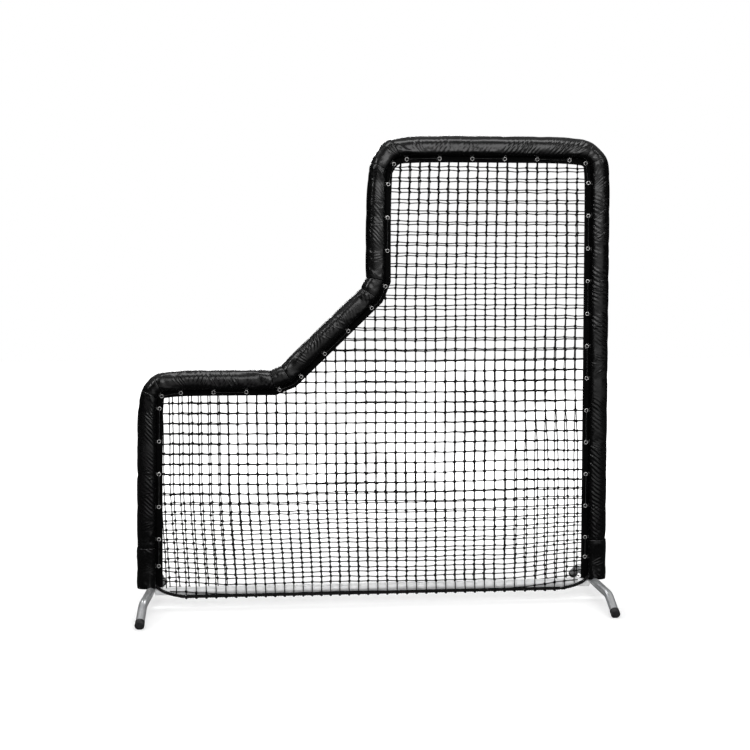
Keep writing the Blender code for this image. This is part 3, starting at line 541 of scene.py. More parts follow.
foam_paint, shader = shader_of("closed_cell_foam", (0.20, 0.20, 0.205), 0.95)
tinted(shader, pattern(shader, "Noise", 30, Detail=4), (0.3, (0.15, 0.15, 0.155)), (0.7, (0.25, 0.25, 0.255)))
relief(shader, (pattern(shader, "Voronoi", 620), 0.6, 0.0006))
for run in ("left", "low_top", "notch", "upper_left", "top", "right"):
    bm = bmesh.new()
    bm.from_mesh(nodes["foam_" + run].data)
    bmesh.ops.remove_doubles(bm, verts=bm.verts, dist=1e-6)
    bmesh.ops.join_triangles(bm, faces=bm.faces, angle_face_threshold=0.3, angle_shape_threshold=3.1)
    lengthwise = [edge for edge in bm.edges if edge.calc_length() > 0.1]
    bmesh.ops.subdivide_edges(bm, edges=lengthwise, cuts=FOAM_CUTS, use_grid_fill=True)
    bm.normal_update()
    for vert in bm.verts:
        near = min((intersect_point_line(vert.co, a, b) for a, b in zip(tube_line, tube_line[1:])),
                   key=lambda hit: (vert.co - hit[0]).length + 9 * (abs(hit[1] - 0.5) > 0.53))[0]
        if (vert.co - near).dot(vert.normal) > 0:
            vert.co -= (vert.co - near).normalized() * FOAM_EASE
        vert.co = bowed(vert.co)
    sleeve = solid(run + "_foam_sleeve", bm, foam_paint, "foam", "foam_" + run)
    round_off = sleeve.modifiers.new("round", "SUBSURF")
    round_off.levels = round_off.render_levels = 1
    round_off.use_limit_surface = False

# ---------------------------------------------------------------- vinyl covers
# Panels of glossy vinyl-coated cloth are wrapped round the foam and sewn to each other at
# straight gores on every bend. Their two flaps come together on the net and are laced.
ROLL_RADIUS = 0.0448
ROLL_CENTRE = -0.013
FLAP_TIP = 0.058
FLAP_FACE = 0.0054
FLAP_SLOPE = 0.18
FLAP_ROOT = 0.0325
FLAP_POINTS = 6
LEAVE_ANGLE = math.radians(30)
ROLL_SQUARE = 2.5
ROLL_SAG = 0.008
HEM_LINE = 0.0505
HEM_RISE = 0.0005
LACE_LINE = 0.042
LACE_PITCH = 0.1524
LACE_PINCH = 0.0016
PINCH_REACH = 0.024
SEAM_PINCH = 0.0014
SEAM_REACH = 0.010
VINYL = 0.0016
RISE_ACROSS = (0.030, -0.040)
SEAM_RISE = (0, 0, 0.0036, 0.0036, 0.0036, 0.0036, 0.001, 0, 0.0036, 0.0036, 0, 0)
BOOT_LENGTH = 0.190
BOOT_SWELL = 0.0028
GRID = 0.0075
ROLL_GRID = 0.0078
ROLL_POINTS = 32
FABRIC = {"quality": 5, "mass": 0.15, "tension_stiffness": 30, "compression_stiffness": 30,
          "shear_stiffness": 12, "bending_stiffness": 0.15, "use_pressure": True,
          "uniform_pressure_force": 2.0, "vertex_group_mass": "held"}
PANEL_EXCESS = 0.028
BOOT_EXCESS = 0.008
SIM_FRAMES = 20
SIM_START = 0.0003
SIM_REACH = 0.0028
SIM_OUT = 0.0014
SIM_IN = 0.0020
PANELS = ["left", "low_corner", "low_top", "notch_low", "notch", "notch_high", "upper_left", "top_left",
          "top", "top_right", "right"]
GORES = PANELS[1::2]


def lace_run(run, bend, first, last, from_end=False):
    """Lace holes a pitch apart along a run, with one more to close a long rest."""
    start, heading = corner[bend], headings[bend]
    length = (corner[bend + 1] - start).length
    near, far = (last, first) if from_end else (first, last)
    room = length - first - last
    count = int(room / LACE_PITCH + SLIP_CLEARANCE) + 1
    spots = [near + i * LACE_PITCH for i in range(count)]
    if room - (count - 1) * LACE_PITCH > LACE_PITCH / 2:
        spots.append(length - far)
    if from_end:
        spots = [length - s for s in reversed(spots)]
    return [(start + heading * s + inward_of(heading) * LACE_LINE, inward_of(heading), run) for s in spots]


def gore_hole(run, bend, share=0.5):
    """The lace hole in the gore of a bend."""
    a, b = seams[2 * bend - 1][0], seams[2 * bend][0]
    inward = inward_of((b - a).normalized())
    return a.lerp(b, share) + inward * LACE_LINE, inward, run


laced = (lace_run("left", 0, 0.100, 0.115, True) + [gore_hole("low_corner", 1)]
         + lace_run("low_top", 1, 0.147, 0.150) + [gore_hole("notch_low", 2, 0.2)]
         + lace_run("notch", 2, 0.083, 0.083) + [gore_hole("notch_high", 3, 0.8)]
         + lace_run("upper_left", 3, 0.165, 0.161, True) + [gore_hole("top_left", 4)]
         + lace_run("top", 4, 0.133, 0.130) + [gore_hole("top_right", 5)]
         + lace_run("right", 5, 0.149, 0.105))

vinyl, shader = shader_of("glossy_vinyl", (0.0010, 0.0010, 0.0011), 0.22)
soft_folds = pattern(shader, "Noise", 30, (1, 0.45, 1), "UV", Detail=4, Roughness=0.55, Distortion=0.5)
dust = pattern(shader, "Noise", 14, Detail=6, Roughness=0.65)
tinted(shader, dust, (0.3, (0.0008, 0.0008, 0.0009)), (0.6, (0.0012, 0.0012, 0.0013)),
       (0.8, (0.0030, 0.0030, 0.0032)))
rubbed(shader, dust, 0.17, 0.27)
ridges = [pattern(shader, "Noise", 1, stretch, "UV", turn=turn, noise_type="RIDGED_MULTIFRACTAL", Detail=1)
          for turn, stretch in ((0.45, (95, 13, 1)), (-0.38, (80, 15, 1)))]
waves = pattern(shader, "Wave", 19, source="UV", turn=0.65, Distortion=4.0, Detail=2, Detail_Scale=0.6)
folds = []
for form, scale, narrow, seed, low, high, strength, height in (
        (ridges[0], 9, 0.6, 0.0, 0.50, 0.62, 0.75, 0.0038),
        (ridges[1], 9, 0.6, 7.3, 0.50, 0.62, 0.75, 0.0038),
        (waves.outputs["Fac"], 6, 0.5, 3.1, 0.42, 0.58, 0.6, 0.0022)):
    patches = pattern(shader, "Noise", scale, (1, narrow, 1), "UV", place=seed, Detail=1)
    folds.append((wired(vinyl.node_tree, "Math", form, soft_step(vinyl.node_tree, patches, low, high),
                        operation="MULTIPLY"), strength, height))
relief(shader, (pattern(shader, "Voronoi", 700, source="UV"), 0.18, 0.0002), (soft_folds, 0.35, 0.0016),
       *folds)

flap_cloth, shader = shader_of("matt_flap_cloth", (0.0035, 0.0035, 0.0037), 0.62, gloss=0.05)
lint = pattern(shader, "Noise", 40, Detail=5)
tinted(shader, lint, (0.35, (0.0008, 0.0008, 0.0009)), (0.7, (0.0018, 0.0018, 0.0019)))
rubbed(shader, lint, 0.5, 0.75)
relief(shader, (pattern(shader, "Voronoi", 900, source="UV"), 0.4, 0.0003))


def flap_face(n):
    """How far the face of a flap stands off the screen's middle plane."""
    return FLAP_FACE + max(0, HEM_LINE - n) * FLAP_SLOPE


def on_roll(a, roll):
    """A place on the cover's roll, which is squarer than a circle and sags at its sides."""
    across, out = math.cos(a), math.sin(a)
    reach = roll / (abs(across) ** ROLL_SQUARE + abs(out) ** ROLL_SQUARE) ** (1 / ROLL_SQUARE)
    return Vector((ROLL_CENTRE + reach * across + ROLL_SAG * out * out, reach * out))


def cover_section(pinch, swell=0.0):
    """The cover's open outline from the front flap's edge round the roll to the back one's."""
    roll = ROLL_RADIUS - pinch + swell
    front = [(FLAP_TIP, FLAP_FACE), (FLAP_TIP - 0.0006, FLAP_FACE + HEM_RISE),
             (HEM_LINE + 0.0008, FLAP_FACE + HEM_RISE), (HEM_LINE, FLAP_FACE),
             (LACE_LINE, flap_face(LACE_LINE)), (FLAP_ROOT, flap_face(FLAP_ROOT))]
    root = Vector(front[-1])
    rim = on_roll(LEAVE_ANGLE, roll)
    down = (rim - on_roll(LEAVE_ANGLE + 0.02, roll)).normalized()
    valley = rim - down * (rim.y - flap_face(rim.x)) / (down.y + FLAP_SLOPE * down.x)
    if valley.x > FLAP_ROOT:
        valley = root.copy()
    for t in (0.33, 0.66):
        front.append(tuple(root * (1 - t) ** 2 + valley * 2 * t * (1 - t) + rim * t ** 2))
    turns = [LEAVE_ANGLE + (2 * math.pi - 2 * LEAVE_ANGLE) * i / ROLL_POINTS for i in range(ROLL_POINTS + 1)]
    return front + [tuple(on_roll(a, roll)) for a in turns] + [(n, -y) for n, y in reversed(front)]


def panel_row(ends, rises, share, pinch, swell=0.0):
    """The cover's outline at a share of a panel's length, with the inward distance of each place."""
    (start, out_start), (end, out_end) = ends
    for n, y in cover_section(pinch, swell):
        far = smooth(*RISE_ACROSS, n)
        place = (start + out_start * (n - rises[0] * far)).lerp(end + out_end * (n - rises[1] * far), share)
        yield bowed(place) - DEPTH * y


def cover_panel(name, ends, rises=(0, 0), swell=0.0):
    """One panel of cover as an open sheet over its run, with the group that holds it still."""
    start, run = ends[0][0], ends[1][0] - ends[0][0]
    length, heading = run.length, run.normalized()
    along = [((spot - start).dot(heading), (spot - start).dot(inward_of(heading))) for spot, _, _ in laced]
    marks = [s for s, n in along if 0 < s < length and abs(n - LACE_LINE) < 0.004]
    count = max(7, round(length / GRID))
    around = len(cover_section(0))
    bm = bmesh.new()
    uv = bm.loops.layers.uv.new("cloth")
    rows, held = [], []
    for i in range(count + 1):
        s = i / count * length
        pinch = sum(LACE_PINCH * math.exp(-((s - m) / PINCH_REACH) ** 2) for m in marks)
        pinch += SEAM_PINCH * math.exp(-(min(s, length - s) / SEAM_REACH) ** 2)
        rows.append([bm.verts.new(place) for place in panel_row(ends, rises, i / count, pinch, swell)])
        edge = min(i, count - i)
        for j in range(around):
            flap = min(j, around - 1 - j)
            still = flap < FLAP_POINTS or edge < 2
            held.append(1.0 if still else max(0.0, 1.4 - 0.4 * edge, 0.6 - 0.3 * (flap - FLAP_POINTS)))
    for i in range(count):
        for j in range(around - 1):
            square = ((i, j), (i, j + 1), (i + 1, j + 1), (i + 1, j))
            face = bm.faces.new([rows[a][b] for a, b in square])
            face.smooth = True
            face.material_index = int(min(j, around - 2 - j) < FLAP_POINTS)
            for loop, (a, b) in zip(face.loops, square):
                loop[uv].uv = (a * length / count, b * ROLL_GRID)
    obj = placed(name, bm, vinyl, flap_cloth)
    group = obj.vertex_groups.new(name="held")
    for i, weight in enumerate(held):
        if weight > 0:
            group.add([i], weight, "REPLACE")
    return obj


boot_tops = [foot + UP * BOOT_LENGTH for foot in (corner[0], corner[-1])]
covers = {"left_boot": cover_panel("left_boot_cover", ((corner[0], ACROSS), (boot_tops[0], ACROSS)),
                                   swell=BOOT_SWELL),
          "right_boot": cover_panel("right_boot_cover", ((boot_tops[1], -ACROSS), (corner[-1], -ACROSS)),
                                    swell=BOOT_SWELL)}
for i, run in enumerate(PANELS):
    (start, out_start), (end, out_end) = seams[i], seams[i + 1]
    start = boot_tops[0] if run == "left" else start
    end = boot_tops[1] if run == "right" else end
    covers[run] = cover_panel(run + "_cover", ((start, out_start), (end, out_end)), SEAM_RISE[i:i + 2])

at_rest = {}
for run, obj in covers.items():
    dice = random.Random(run)
    for vert in obj.data.vertices:
        vert.co += vert.normal * dice.uniform(-SIM_START, SIM_START)
    at_rest[run] = [vert.co.copy() for vert in obj.data.vertices]
    cloth = obj.modifiers.new("wrap", "CLOTH")
    for setting, value in FABRIC.items():
        setattr(cloth.settings, setting, value)
    cloth.settings.shrink_min = -BOOT_EXCESS if "boot" in run else -PANEL_EXCESS
    cloth.settings.effector_weights.gravity = 0
    cloth.collision_settings.use_collision = False
    cloth.point_cache.frame_start = 1
    cloth.point_cache.frame_end = SIM_FRAMES
for step in range(1, SIM_FRAMES + 1):
    scene.frame_set(step)
graph = bpy.context.evaluated_depsgraph_get()
for run, obj in covers.items():
    places = [vert.co.copy() for vert in obj.evaluated_get(graph).data.vertices]
    obj.modifiers.remove(obj.modifiers["wrap"])
    for vert, place, base in zip(obj.data.vertices, places, at_rest[run]):
        shift = place - base
        shift *= min(1, SIM_REACH / max(shift.length, SIM_REACH)) * (0.4 if run in GORES else 1)
        sunk = shift.dot(vert.normal)
        shift += vert.normal * (min(max(sunk, -SIM_OUT), SIM_IN) - sunk)
        vert.co = base + shift
scene.frame_set(1)

for run, obj in covers.items():
    obj.vertex_groups.clear()
    obj.data.update()
    finer = obj.modifiers.new("finer", "SUBSURF")
    finer.levels = finer.render_levels = 1
    wall = obj.modifiers.new("wall", "SOLIDIFY")
    wall.thickness = VINYL
    wall.offset = 1
    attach(obj, "screen")
    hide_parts("cover_" + run)

# ---------------------------------------------------------------- stitching
# Black thread: one row holds the hem of each flap, and a row on each side of every seam holds
# the gores flat. The stitches follow the edges that the covers were cut to.
STITCH_PITCH = 0.0062
STITCH_LENGTH = 0.0042
THREAD_RADIUS = 0.00045
HEM_ROW = 0.0545
HEM_END = 0.004
HEM_POINTS = 12
SEAM_ROW = 0.0050


def new_tree(name, **sizes):
    """A geometry node group with a mesh in and out and the named sizes; returns it with its inputs."""
    group = bpy.data.node_groups.new(name, "GeometryNodeTree")
    group.interface.new_socket(name="Geometry", in_out="INPUT", socket_type="NodeSocketGeometry")
    for size, value in sizes.items():
        kind = "NodeSocketInt" if isinstance(value, int) else "NodeSocketFloat"
        socket = group.interface.new_socket(name=size, in_out="INPUT", socket_type=kind)
        socket.default_value = value
    group.interface.new_socket(name="Geometry", in_out="OUTPUT", socket_type="NodeSocketGeometry")
    return group, group.nodes.new("NodeGroupInput").outputs


def closed_tree(group, source, paint):
    """Ends a group with real meshes in one material."""
    painted = wired(group, "SetMaterial", wired(group, "RealizeInstances", source), Material=paint)
    group.links.new(painted.outputs[0], group.nodes.new("NodeGroupOutput").inputs[0])


def grown(name, mesh, group, paint, slot, *replaced):
    """Runs a node group on a mesh and keeps the result as a plain piece of the screen."""
    obj = placed(name, mesh)
    maker = obj.modifiers.new("maker", "NODES")
    maker.node_group = group
    for item in group.interface.items_tree:
        if item.in_out == "INPUT" and item.socket_type != "NodeSocketGeometry":
            maker[item.identifier] = item.default_value
    plain_mesh(obj, maker)
    obj.data.name = name
    obj.data.materials.clear()
    obj.data.materials.append(paint)
    obj.data.shade_smooth()
    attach(obj, "screen")
    if replaced:
        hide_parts(*replaced)


def threads_of(name, rows, marks=()):
    """A mesh of open rows of points, and of single marked points with a direction each."""
    mesh = bpy.data.meshes.new(name)
    points = [p for row in rows for p in row]
    edges = []
    first = 0
    for row in rows:
        edges += [(i, i + 1) for i in range(first, first + len(row) - 1)]
        first += len(row)
    mesh.from_pydata([*points, *(place for place, _ in marks)], edges, [])
    mesh.attributes.new("marked", "BOOLEAN", "POINT")
    mesh.attributes.new("facing", "FLOAT_VECTOR", "POINT")
    for i, (_, axis) in enumerate(marks, start=len(points)):
        mesh.attributes["marked"].data[i].value = True
        mesh.attributes["facing"].data[i].vector = axis
    return mesh


stitch_tree, given = new_tree("stitch_row", Pitch=STITCH_PITCH, Length=STITCH_LENGTH, Thread=THREAD_RADIUS)
run = wired(stitch_tree, "MeshToCurve", Mesh=given["Geometry"])
even = wired(stitch_tree, "ResampleCurve", mode="LENGTH", Curve=run, Length=given["Pitch"])
bead = wired(stitch_tree, "MeshIcoSphere", Radius=1.0, Subdivisions=1)
half = wired(stitch_tree, "ShaderNodeMath", given["Length"], 0.5, operation="MULTIPLY")
size = wired(stitch_tree, "ShaderNodeCombineXYZ", given["Thread"], given["Thread"], half)
along = wired(stitch_tree, "FunctionNodeAlignRotationToVector", axis="Z",
              Vector=wired(stitch_tree, "InputTangent"))
stitches = wired(stitch_tree, "InstanceOnPoints", Points=even, Instance=bead, Rotation=along, Scale=size)
thread, shader = shader_of("bonded_thread", (0.012, 0.012, 0.013), 0.8, gloss=0.1)
ply = pattern(shader, "Noise", 2600, Detail=2)
tinted(shader, ply, (0.35, (0.007, 0.007, 0.008)), (0.65, (0.022, 0.022, 0.023)))
relief(shader, (ply, 0.4, 0.0002))
closed_tree(stitch_tree, stitches, thread)

hem_rows = []
seam_rows = []
seam_pinch = SEAM_PINCH * math.exp(-(SEAM_ROW / SEAM_REACH) ** 2) - THREAD_RADIUS * 0.5
for i, run in enumerate(PANELS):
    (start, out_start), (end, out_end) = seams[i], seams[i + 1]
    length = (end - start).length
    for side in (-1, 1):
        y = DEPTH * side * (FLAP_FACE + HEM_RISE + THREAD_RADIUS * 0.3)
        a, b = start + out_start * HEM_ROW + y, end + out_end * HEM_ROW + y
        way = (b - a).normalized() * HEM_END
        hem_rows.append([bowed((a + way).lerp(b - way, k / HEM_POINTS)) for k in range(HEM_POINTS + 1)])
    for share, used in ((SEAM_ROW / length, run != "left"), (1 - SEAM_ROW / length, run != "right")):
        if used:
            row = list(panel_row(seams[i:i + 2], SEAM_RISE[i:i + 2], share, seam_pinch))
            seam_rows.append(row[FLAP_POINTS:-FLAP_POINTS])
grown("cover_stitching", threads_of("cover_stitching", hem_rows + seam_rows), stitch_tree, thread, "vinyl")

# ---------------------------------------------------------------- eyelets
# Nickel-plated brass eyelets, rolled over on the front and the back of the flaps, line the
# holes that the lacing runs through.
EYELET_BORE = 0.0062
EYELET_REACH = 0.0094
EYELET_RISE = 0.0014
profile = [(EYELET_BORE, -0.0030), (EYELET_BORE, 0.0006), (EYELET_BORE + 0.0005, EYELET_RISE - 0.0002),
           (EYELET_BORE + 0.0010, EYELET_RISE), (EYELET_REACH - 0.0012, EYELET_RISE - 0.0003),
           (EYELET_REACH - 0.0004, EYELET_RISE - 0.0009), (EYELET_REACH, 0.0),
           (EYELET_REACH - 0.0005, -0.0006), (EYELET_BORE + 0.0008, -0.0006),
           (EYELET_BORE + 0.0008, -0.0030)]
bm = skin([ring(UP * h, UP, r, 24, ACROSS) for r, h in profile], closed=True)
bmesh.ops.recalc_face_normals(bm, faces=bm.faces)
one_eyelet = placed("eyelet_pattern", bm)


def marked_points(group, given, stamp, size):
    """Puts a stamp, turned to its mark's direction, on each marked point of a group's mesh."""
    marked = wired(group, "InputNamedAttribute", data_type="BOOLEAN", Name="marked")
    facing = wired(group, "InputNamedAttribute", data_type="FLOAT_VECTOR", Name="facing")
    places = wired(group, "MeshToPoints", Mesh=given["Geometry"], Selection=marked)
    turned = wired(group, "FunctionNodeAlignRotationToVector", axis="Z", Vector=facing)
    return wired(group, "InstanceOnPoints", Points=places, Instance=stamp, Rotation=turned, Scale=size)


eyelet_tree, given = new_tree("eyelet_places", Size=1.0)
stamp = wired(eyelet_tree, "ObjectInfo", Object=one_eyelet, As_Instance=True).outputs["Geometry"]
plated, shader = shader_of("nickel_eyelet", (0.85, 0.84, 0.83), 0.3, 0.6)
tarnish = pattern(shader, "Noise", 300, Detail=4)
tinted(shader, tarnish, (0.3, (0.72, 0.71, 0.70)), (0.65, (0.92, 0.91, 0.90)))
rubbed(shader, tarnish, 0.14, 0.34)
closed_tree(eyelet_tree, marked_points(eyelet_tree, given, stamp, given["Size"]), plated)
marks = []
for spot, inward, run in laced:
    for side in (-1, 1):
        tilt = (DEPTH * side + inward * FLAP_SLOPE).normalized()
        marks.append((bowed(spot) + DEPTH * side * flap_face(LACE_LINE), tilt))
grown("lace_eyelets", threads_of("lace_eyelets", [], marks), eyelet_tree, plated, "nickel_button")
bpy.data.objects.remove(one_eyelet)

# ---------------------------------------------------------------- double net
# Two layers of square-hung knotted twine are stretched in the frame, one before the other.
# Their edges go between the flaps; at the bottom they pass the rail and wrap the border ropes.
NET_INSET = 0.049
NET_BOTTOM = 0.0545
TWINE_RADIUS = 0.0026
KNOT_RADIUS = 0.0074
KNOT_MARGIN = 0.014
NET_PITCH = (0.0446, 0.0462)
NET_GROWTH = (4.4e-5, 4.1e-5)
TWINE_BOW = 0.0011
CUT_STEPS = 9
NET_LIFT = 0.0024
NET_RIPPLE = 0.0015
NET_BULGE = 0.0050
BULGE_REACH = 0.22
NET_FLARE = 0.0275
FLARE_HEIGHT = 0.250
FLARE_START = 0.018
FLARE_RUN = 0.009
ROPE_RADIUS = 0.0082
ROPE_HEIGHT = 0.0480
NET_CORNER = ((0.110, 0.0), (0.075, 0.007), (0.045, 0.020), (0.020, 0.042), (0.0, 0.075))
LINES = 44
net_side = HALF_SPAN - NET_INSET
foot_cut = [Vector((net_side - run, NET_BOTTOM + rise)) for run, rise in NET_CORNER]
outline = [Vector((-p.x, p.y)) for p in foot_cut]
outline += [(place + out_way * NET_INSET).xz for place, out_way in seams[1:-1]]
outline += list(reversed(foot_cut))


def inside(x, z):
    """Whether a place lies inside the net's outline."""
    hit = False
    for a, b in zip(outline, outline[1:] + outline[:1]):
        if (a.y > z) != (b.y > z) and x < a.x + (b.x - a.x) * (z - a.y) / (b.y - a.y):
            hit = not hit
    return hit


def edge_distance(x, z):
    """How far a place lies from the laced edges of the net."""
    best = 1.0
    for a, b in zip(outline, outline[1:]):
        run = b - a
        share = min(max((Vector((x, z)) - a).dot(run) / run.length_squared, 0), 1)
        best = min(best, (Vector((x, z)) - a - run * share).length)
    return best


def hung(layer, x, z):
    """Where a place of one layer hangs, off the middle plane of the screen."""
    across = (net_side - abs(x) - FLARE_START) / FLARE_RUN
    along = 1 - (z - NET_BOTTOM) / FLARE_HEIGHT
    flare = (NET_FLARE - NET_LIFT) * min(max(across, 0), 1) * min(max(along, 0), 1)
    belly = NET_BULGE * smooth(0.004, BULGE_REACH, edge_distance(x, z))
    ripple = NET_RIPPLE * noise.noise(Vector((x * 7, z * 7, 9 + 3 * layer))) * min(belly / NET_BULGE, 1)
    return Vector((x, (2 * layer - 1) * (NET_LIFT + max(flare, belly + ripple)), z))


def net_place(layer, i, j):
    """Where the crossing of column i and row j of a layer hangs."""
    x = -net_side + NET_PITCH[0] * i + NET_GROWTH[0] * i * i
    z = NET_BOTTOM + NET_PITCH[1] * j + NET_GROWTH[1] * j * j
    if layer:
        x += 0.046 * (0.30 * smooth(-0.55, -0.95, x) + 0.42 * smooth(0.45, 0.85, x) * smooth(1.1, 0.6, z)
                      + 0.10 * noise.noise(Vector((x * 1.7, z * 1.7, 3))))
        z += 0.048 * (0.33 * smooth(1.05, 1.45, z) + 0.30 * smooth(0.62, 0.30, z)
                      + 0.12 * noise.noise(Vector((x * 1.9, z * 1.9, 7))))
    low = smooth(0.60, 0.02, z)
    x += 0.050 * max(0, z - 1.42) * smooth(1.0, -0.2, x) + 0.030 * low * smooth(0.2, -0.6, x)
    z += low * (0.034 * smooth(0.60, 1.02, x) + 0.020 * smooth(-0.60, -1.02, x))
    sway = Vector((x * 2.6, z * 2.6, 20 * layer))
    x += 0.0050 * noise.noise(sway)
    z += 0.0050 * noise.noise(sway + Vector((5, 5, 5)))
    near = Vector((i * 3.1, j * 3.1, 40 * layer + 0.5))
    x += 0.0016 * noise.noise(near)
    z += 0.0018 * noise.noise(near + Vector((9, 9, 9))) + 0.0009 * (-1) ** (i + j)
    return x, z


def strand(layer, grid, crossings, seed):
    """One strand through its crossings, bowed a little between them and cut to the net's outline."""
    points = [grid[crossings[0]]]
    for before, (i, j) in zip(crossings, crossings[1:]):
        (ax, az), (bx, bz) = grid[before], grid[i, j]
        spot = seed + i * 53 + j
        bow = TWINE_BOW * noise.noise(Vector((spot * 1.7, spot * 0.31, layer)))
        side = (-(bz - az), bx - ax)
        span = math.hypot(*side)
        points += [(ax + (bx - ax) * s + side[0] / span * bow, az + (bz - az) * s + side[1] / span * bow)
                   for s in (0.3, 0.7)]
        points.append((bx, bz))
    runs, row = [], []
    for a, b in zip(points, points[1:] + points[-1:]):
        if inside(*a):
            row.append(hung(layer, *a))
        if inside(*a) != inside(*b):
            low, high = (a, b) if inside(*a) else (b, a)
            for _ in range(CUT_STEPS):
                middle = ((low[0] + high[0]) / 2, (low[1] + high[1]) / 2)
                low, high = (middle, high) if inside(*middle) else (low, middle)
            row.append(hung(layer, *low))
            if not inside(*b):
                runs.append(row)
                row = []
    return [row for row in [*runs, row] if len(row) > 1]


net_tree, given = new_tree("knotted_net", Twine=TWINE_RADIUS, Knot=KNOT_RADIUS, Sides=5)
strands = wired(net_tree, "MeshToCurve", Mesh=given["Geometry"])
round_twine = wired(net_tree, "CurvePrimitiveCircle", Resolution=given["Sides"], Radius=given["Twine"])
twine_mesh = wired(net_tree, "CurveToMesh", Fill_Caps=True, Curve=strands, Profile_Curve=round_twine)
lump = wired(net_tree, "MeshUVSphere", Segments=6, Rings=4, Radius=1.0)
squat = wired(net_tree, "ShaderNodeVectorMath", (0.92, 0.80, 1.12), operation="SCALE", Scale=given["Knot"])
whole = wired(net_tree, "JoinGeometry", twine_mesh)
net_tree.links.new(marked_points(net_tree, given, lump, squat).outputs[0], whole.inputs[0])
twine, shader = shader_of("knotted_twine", (0.007, 0.007, 0.007), 0.8, gloss=0.12)
tinted(shader, pattern(shader, "Noise", 9, Detail=4), (0.3, (0.004, 0.004, 0.004)),
       (0.7, (0.011, 0.011, 0.011)))
relief(shader, (pattern(shader, "Noise", 1500, Detail=3), 0.5, 0.0004))
closed_tree(net_tree, whole, twine)

for layer, side in enumerate(("front", "back")):
    way = 2 * layer - 1
    lines = range(-1, LINES + 2)
    grid = {(i, j): net_place(layer, i, j) for i in lines for j in lines}
    rows, marks, hitches = [], [], []
    for i in lines:
        pieces = strand(layer, grid, [(i, j) for j in lines], 0)
        for piece in pieces:
            foot = piece[0]
            if foot.z < NET_BOTTOM + 0.002 and abs(foot.x) < foot_cut[0].x:
                centre = Vector((foot.x, way * NET_FLARE, ROPE_HEIGHT))
                reach = ROPE_RADIUS + TWINE_RADIUS * 0.8
                turn = [centre + Vector((0.0006 * k, reach * math.sin(k * 0.8), reach * math.cos(k * 0.8)))
                        for k in range(8)]
                piece[:1] = list(reversed(turn))
                hitches.append((leaning(centre - UP * ROPE_RADIUS * 0.6), UP))
        rows += pieces
    for j in lines[1:]:
        rows += strand(layer, grid, [(i, j) for i in lines], 4000)
    rows = [[leaning(place) for place in row] for row in rows]
    dice = random.Random(11 + layer)
    for x, z in grid.values():
        if inside(x, z) and z > NET_BOTTOM + 0.006 and edge_distance(x, z) > KNOT_MARGIN:
            tilt = Vector((dice.uniform(-1, 1), dice.uniform(-0.4, 0.4), dice.uniform(0.2, 1))).normalized()
            marks.append((leaning(hung(layer, x, z)), tilt))
    grown(side + "_knotted_net", threads_of(side + "_knotted_net", rows, marks + hitches), net_tree, twine,
          "netting", *(side + "_net_" + part for part in ("left", "middle", "right")))

# ---------------------------------------------------------------- border ropes
# A three-strand laid rope borders the foot of each net layer, from the flap of one side pad,
# under the rail on its own side, to the flap of the other.
ROPE_STRAND = 0.0045
ROPE_LAY = 0.034
ROPE_STEP = 0.0030
FLAT_START = 0.010


def eased(points, step):
    """Even places on a smooth curve through a row of points."""
    fine = []
    padded = [points[0] * 2 - points[1], *points, points[-1] * 2 - points[-2]]
    for a, b, c, d in zip(padded, padded[1:], padded[2:], padded[3:]):
        parts = max(2, math.ceil((c - b).length / step))
        for k in range(parts):
            t = k / parts
            fine.append((b * 2 + (c - a) * t + (a * 2 - b * 5 + c * 4 - d) * t ** 2
                         + (b * 3 - a - c * 3 + d) * t ** 3) / 2)
    return fine + [points[-1]]


rope_tree, given = new_tree("laid_rope", Strand=ROPE_STRAND, Offset=ROPE_RADIUS - ROPE_STRAND, Lay=ROPE_LAY,
                            Strands=3, Sides=7)
run = wired(rope_tree, "MeshToCurve", Mesh=given["Geometry"])
turns = wired(rope_tree, "ShaderNodeMath", wired(rope_tree, "SplineParameter").outputs["Length"],
              given["Lay"], operation="DIVIDE")
angle = wired(rope_tree, "ShaderNodeMath", turns, 2 * math.pi, operation="MULTIPLY")
twisted = wired(rope_tree, "SetCurveTilt", Curve=run, Tilt=angle)
lobes = wired(rope_tree, "CurvePrimitiveCircle", Resolution=given["Strands"], Radius=given["Offset"])
lobe = wired(rope_tree, "MeshCircle", fill_type="NONE", Vertices=given["Sides"], Radius=given["Strand"])
lobes = wired(rope_tree, "InstanceOnPoints", Points=lobes, Instance=lobe)
section = wired(rope_tree, "MeshToCurve", Mesh=wired(rope_tree, "RealizeInstances", lobes))
laid = wired(rope_tree, "CurveToMesh", Fill_Caps=True, Curve=twisted, Profile_Curve=section)
rope_paint, shader = shader_of("laid_rope", (0.008, 0.008, 0.008), 0.8, gloss=0.15)
yarn = pattern(shader, "Noise", 900, (0.35, 1, 1), Detail=4)
tinted(shader, yarn, (0.35, (0.004, 0.004, 0.004)), (0.65, (0.014, 0.014, 0.014)))
relief(shader, (yarn, 0.5, 0.0004))
closed_tree(rope_tree, laid, rope_paint)
half_rope = [Vector(p) for p in (
    (1.022, 0.0990, 0.0110), (1.010, 0.0905, 0.0190), (0.992, 0.0790, 0.0255), (0.966, 0.0670, NET_FLARE),
    (0.936, 0.0575, NET_FLARE), (0.905, 0.0515, NET_FLARE))]
half_rope += [Vector(((foot_cut[0].x - FLAT_START) * share, ROPE_HEIGHT, NET_FLARE))
              for share in (1.0, 0.75, 0.5, 0.25)]
whole_rope = half_rope + [Vector((0, ROPE_HEIGHT, NET_FLARE))]
whole_rope += [Vector((-p.x, p.y, p.z)) for p in reversed(half_rope)]
for way, side in ((-1, "front"), (1, "back")):
    route = [leaning(Vector((p.x, way * p.z, p.y))) for p in whole_rope]
    grown(side + "_laid_rope", threads_of(side + "_laid_rope", [eased(route, ROPE_STEP)]), rope_tree,
          rope_paint, "border_rope", side + "_border_rope")

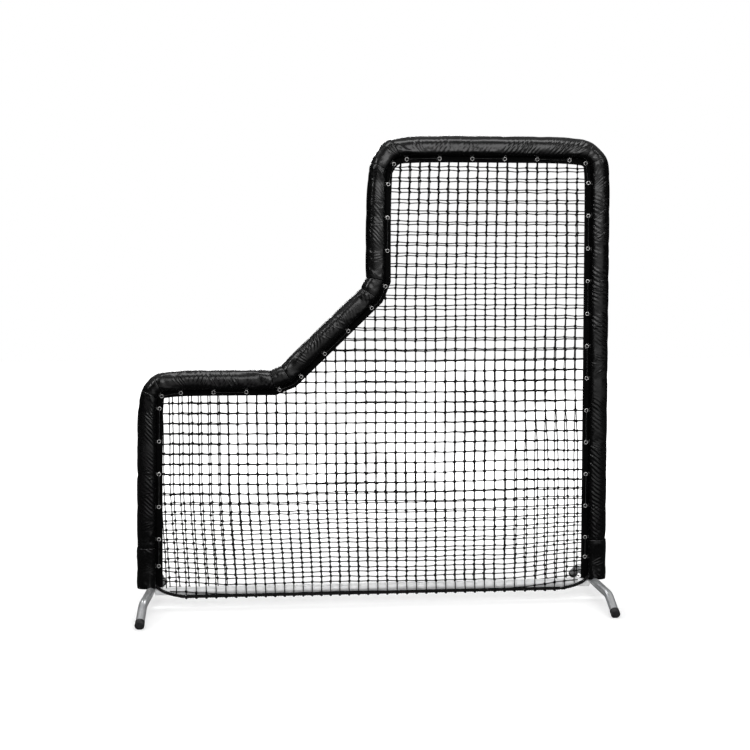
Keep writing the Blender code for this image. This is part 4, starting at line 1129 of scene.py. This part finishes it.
# ---------------------------------------------------------------- lacing
# One braided cord is run through every pair of eyelets, in and out in turn, and draws the two
# flaps together on the net. Its two ends hang behind the feet of the side pads.
LACE_RADIUS = 0.0021
LACE_STEP = 0.0036
LACE_RISE = 0.0008
LACE_SAMPLE = 0.0045
LACE_SLACK = 0.0016
LACE_SIZES = {"Strand": 0.00125, "Offset": 0.00085, "Lay": 0.011, "Strands": 4, "Sides": 5}
TAIL_BACK = 0.026
TAIL_END = 0.048
lace_tree = rope_tree.copy()
lace_tree.name = "braided_cord"
for item in lace_tree.interface.items_tree:
    if item.name in LACE_SIZES:
        item.default_value = LACE_SIZES[item.name]
braid, shader = shader_of("braided_cord", (0.040, 0.040, 0.041), 0.55)
plait = pattern(shader, "Voronoi", 900)
tinted(shader, plait, (0.1, (0.060, 0.060, 0.062)), (0.6, (0.022, 0.022, 0.023)))
relief(shader, (plait, 0.5, 0.0003))
for node in lace_tree.nodes:
    if node.bl_idname == "GeometryNodeSetMaterial":
        node.inputs["Material"].default_value = braid
lift = flap_face(LACE_LINE) + LACE_RADIUS
stops = []
for spot, inward, run in laced:
    turned = [(place + out_way * LACE_LINE, False)
              for place, out_way in {"notch_low": seams[3:5], "notch_high": seams[5:7]}.get(run, ())]
    stops += turned[:1] + [(bowed(spot), True)] + turned[1:]
route = []
side = 1
dice = random.Random(5)
for i, (spot, hole) in enumerate(stops):
    if not hole:
        route.append(spot + DEPTH * lift * side)
        continue
    into = (spot - stops[i - 1][0]).normalized() if i else UP
    onward = (stops[i + 1][0] - spot).normalized() if i < len(stops) - 1 else -UP
    route.append(spot - into * LACE_STEP + DEPTH * (lift + LACE_RISE) * side)
    route.append(spot)
    route.append(spot + onward * LACE_STEP - DEPTH * (lift + LACE_RISE) * side)
    side = -side
    if i < len(stops) - 1 and stops[i + 1][1]:
        gap = stops[i + 1][0] - spot
        slack = inward_of(onward) * dice.uniform(-LACE_SLACK, LACE_SLACK)
        route.append(spot + gap * 0.5 + slack + DEPTH * lift * side)
tails = [[Vector((spot.x + 0.002, way * TAIL_BACK, TAIL_END)),
          Vector((spot.x - 0.001, way * TAIL_BACK, 0.092)),
          Vector((spot.x + 0.001, way * (lift + 0.006), 0.122)), Vector((spot.x, way * lift, spot.z - 0.030))]
         for spot, way in ((stops[0][0], 1), (stops[-1][0], side))]
route = tails[0] + route + tails[1][::-1]
grown("braided_lacing", threads_of("braided_lacing", [eased(route, LACE_SAMPLE)]), lace_tree, braid,
      "lacing", "lacing_cord")
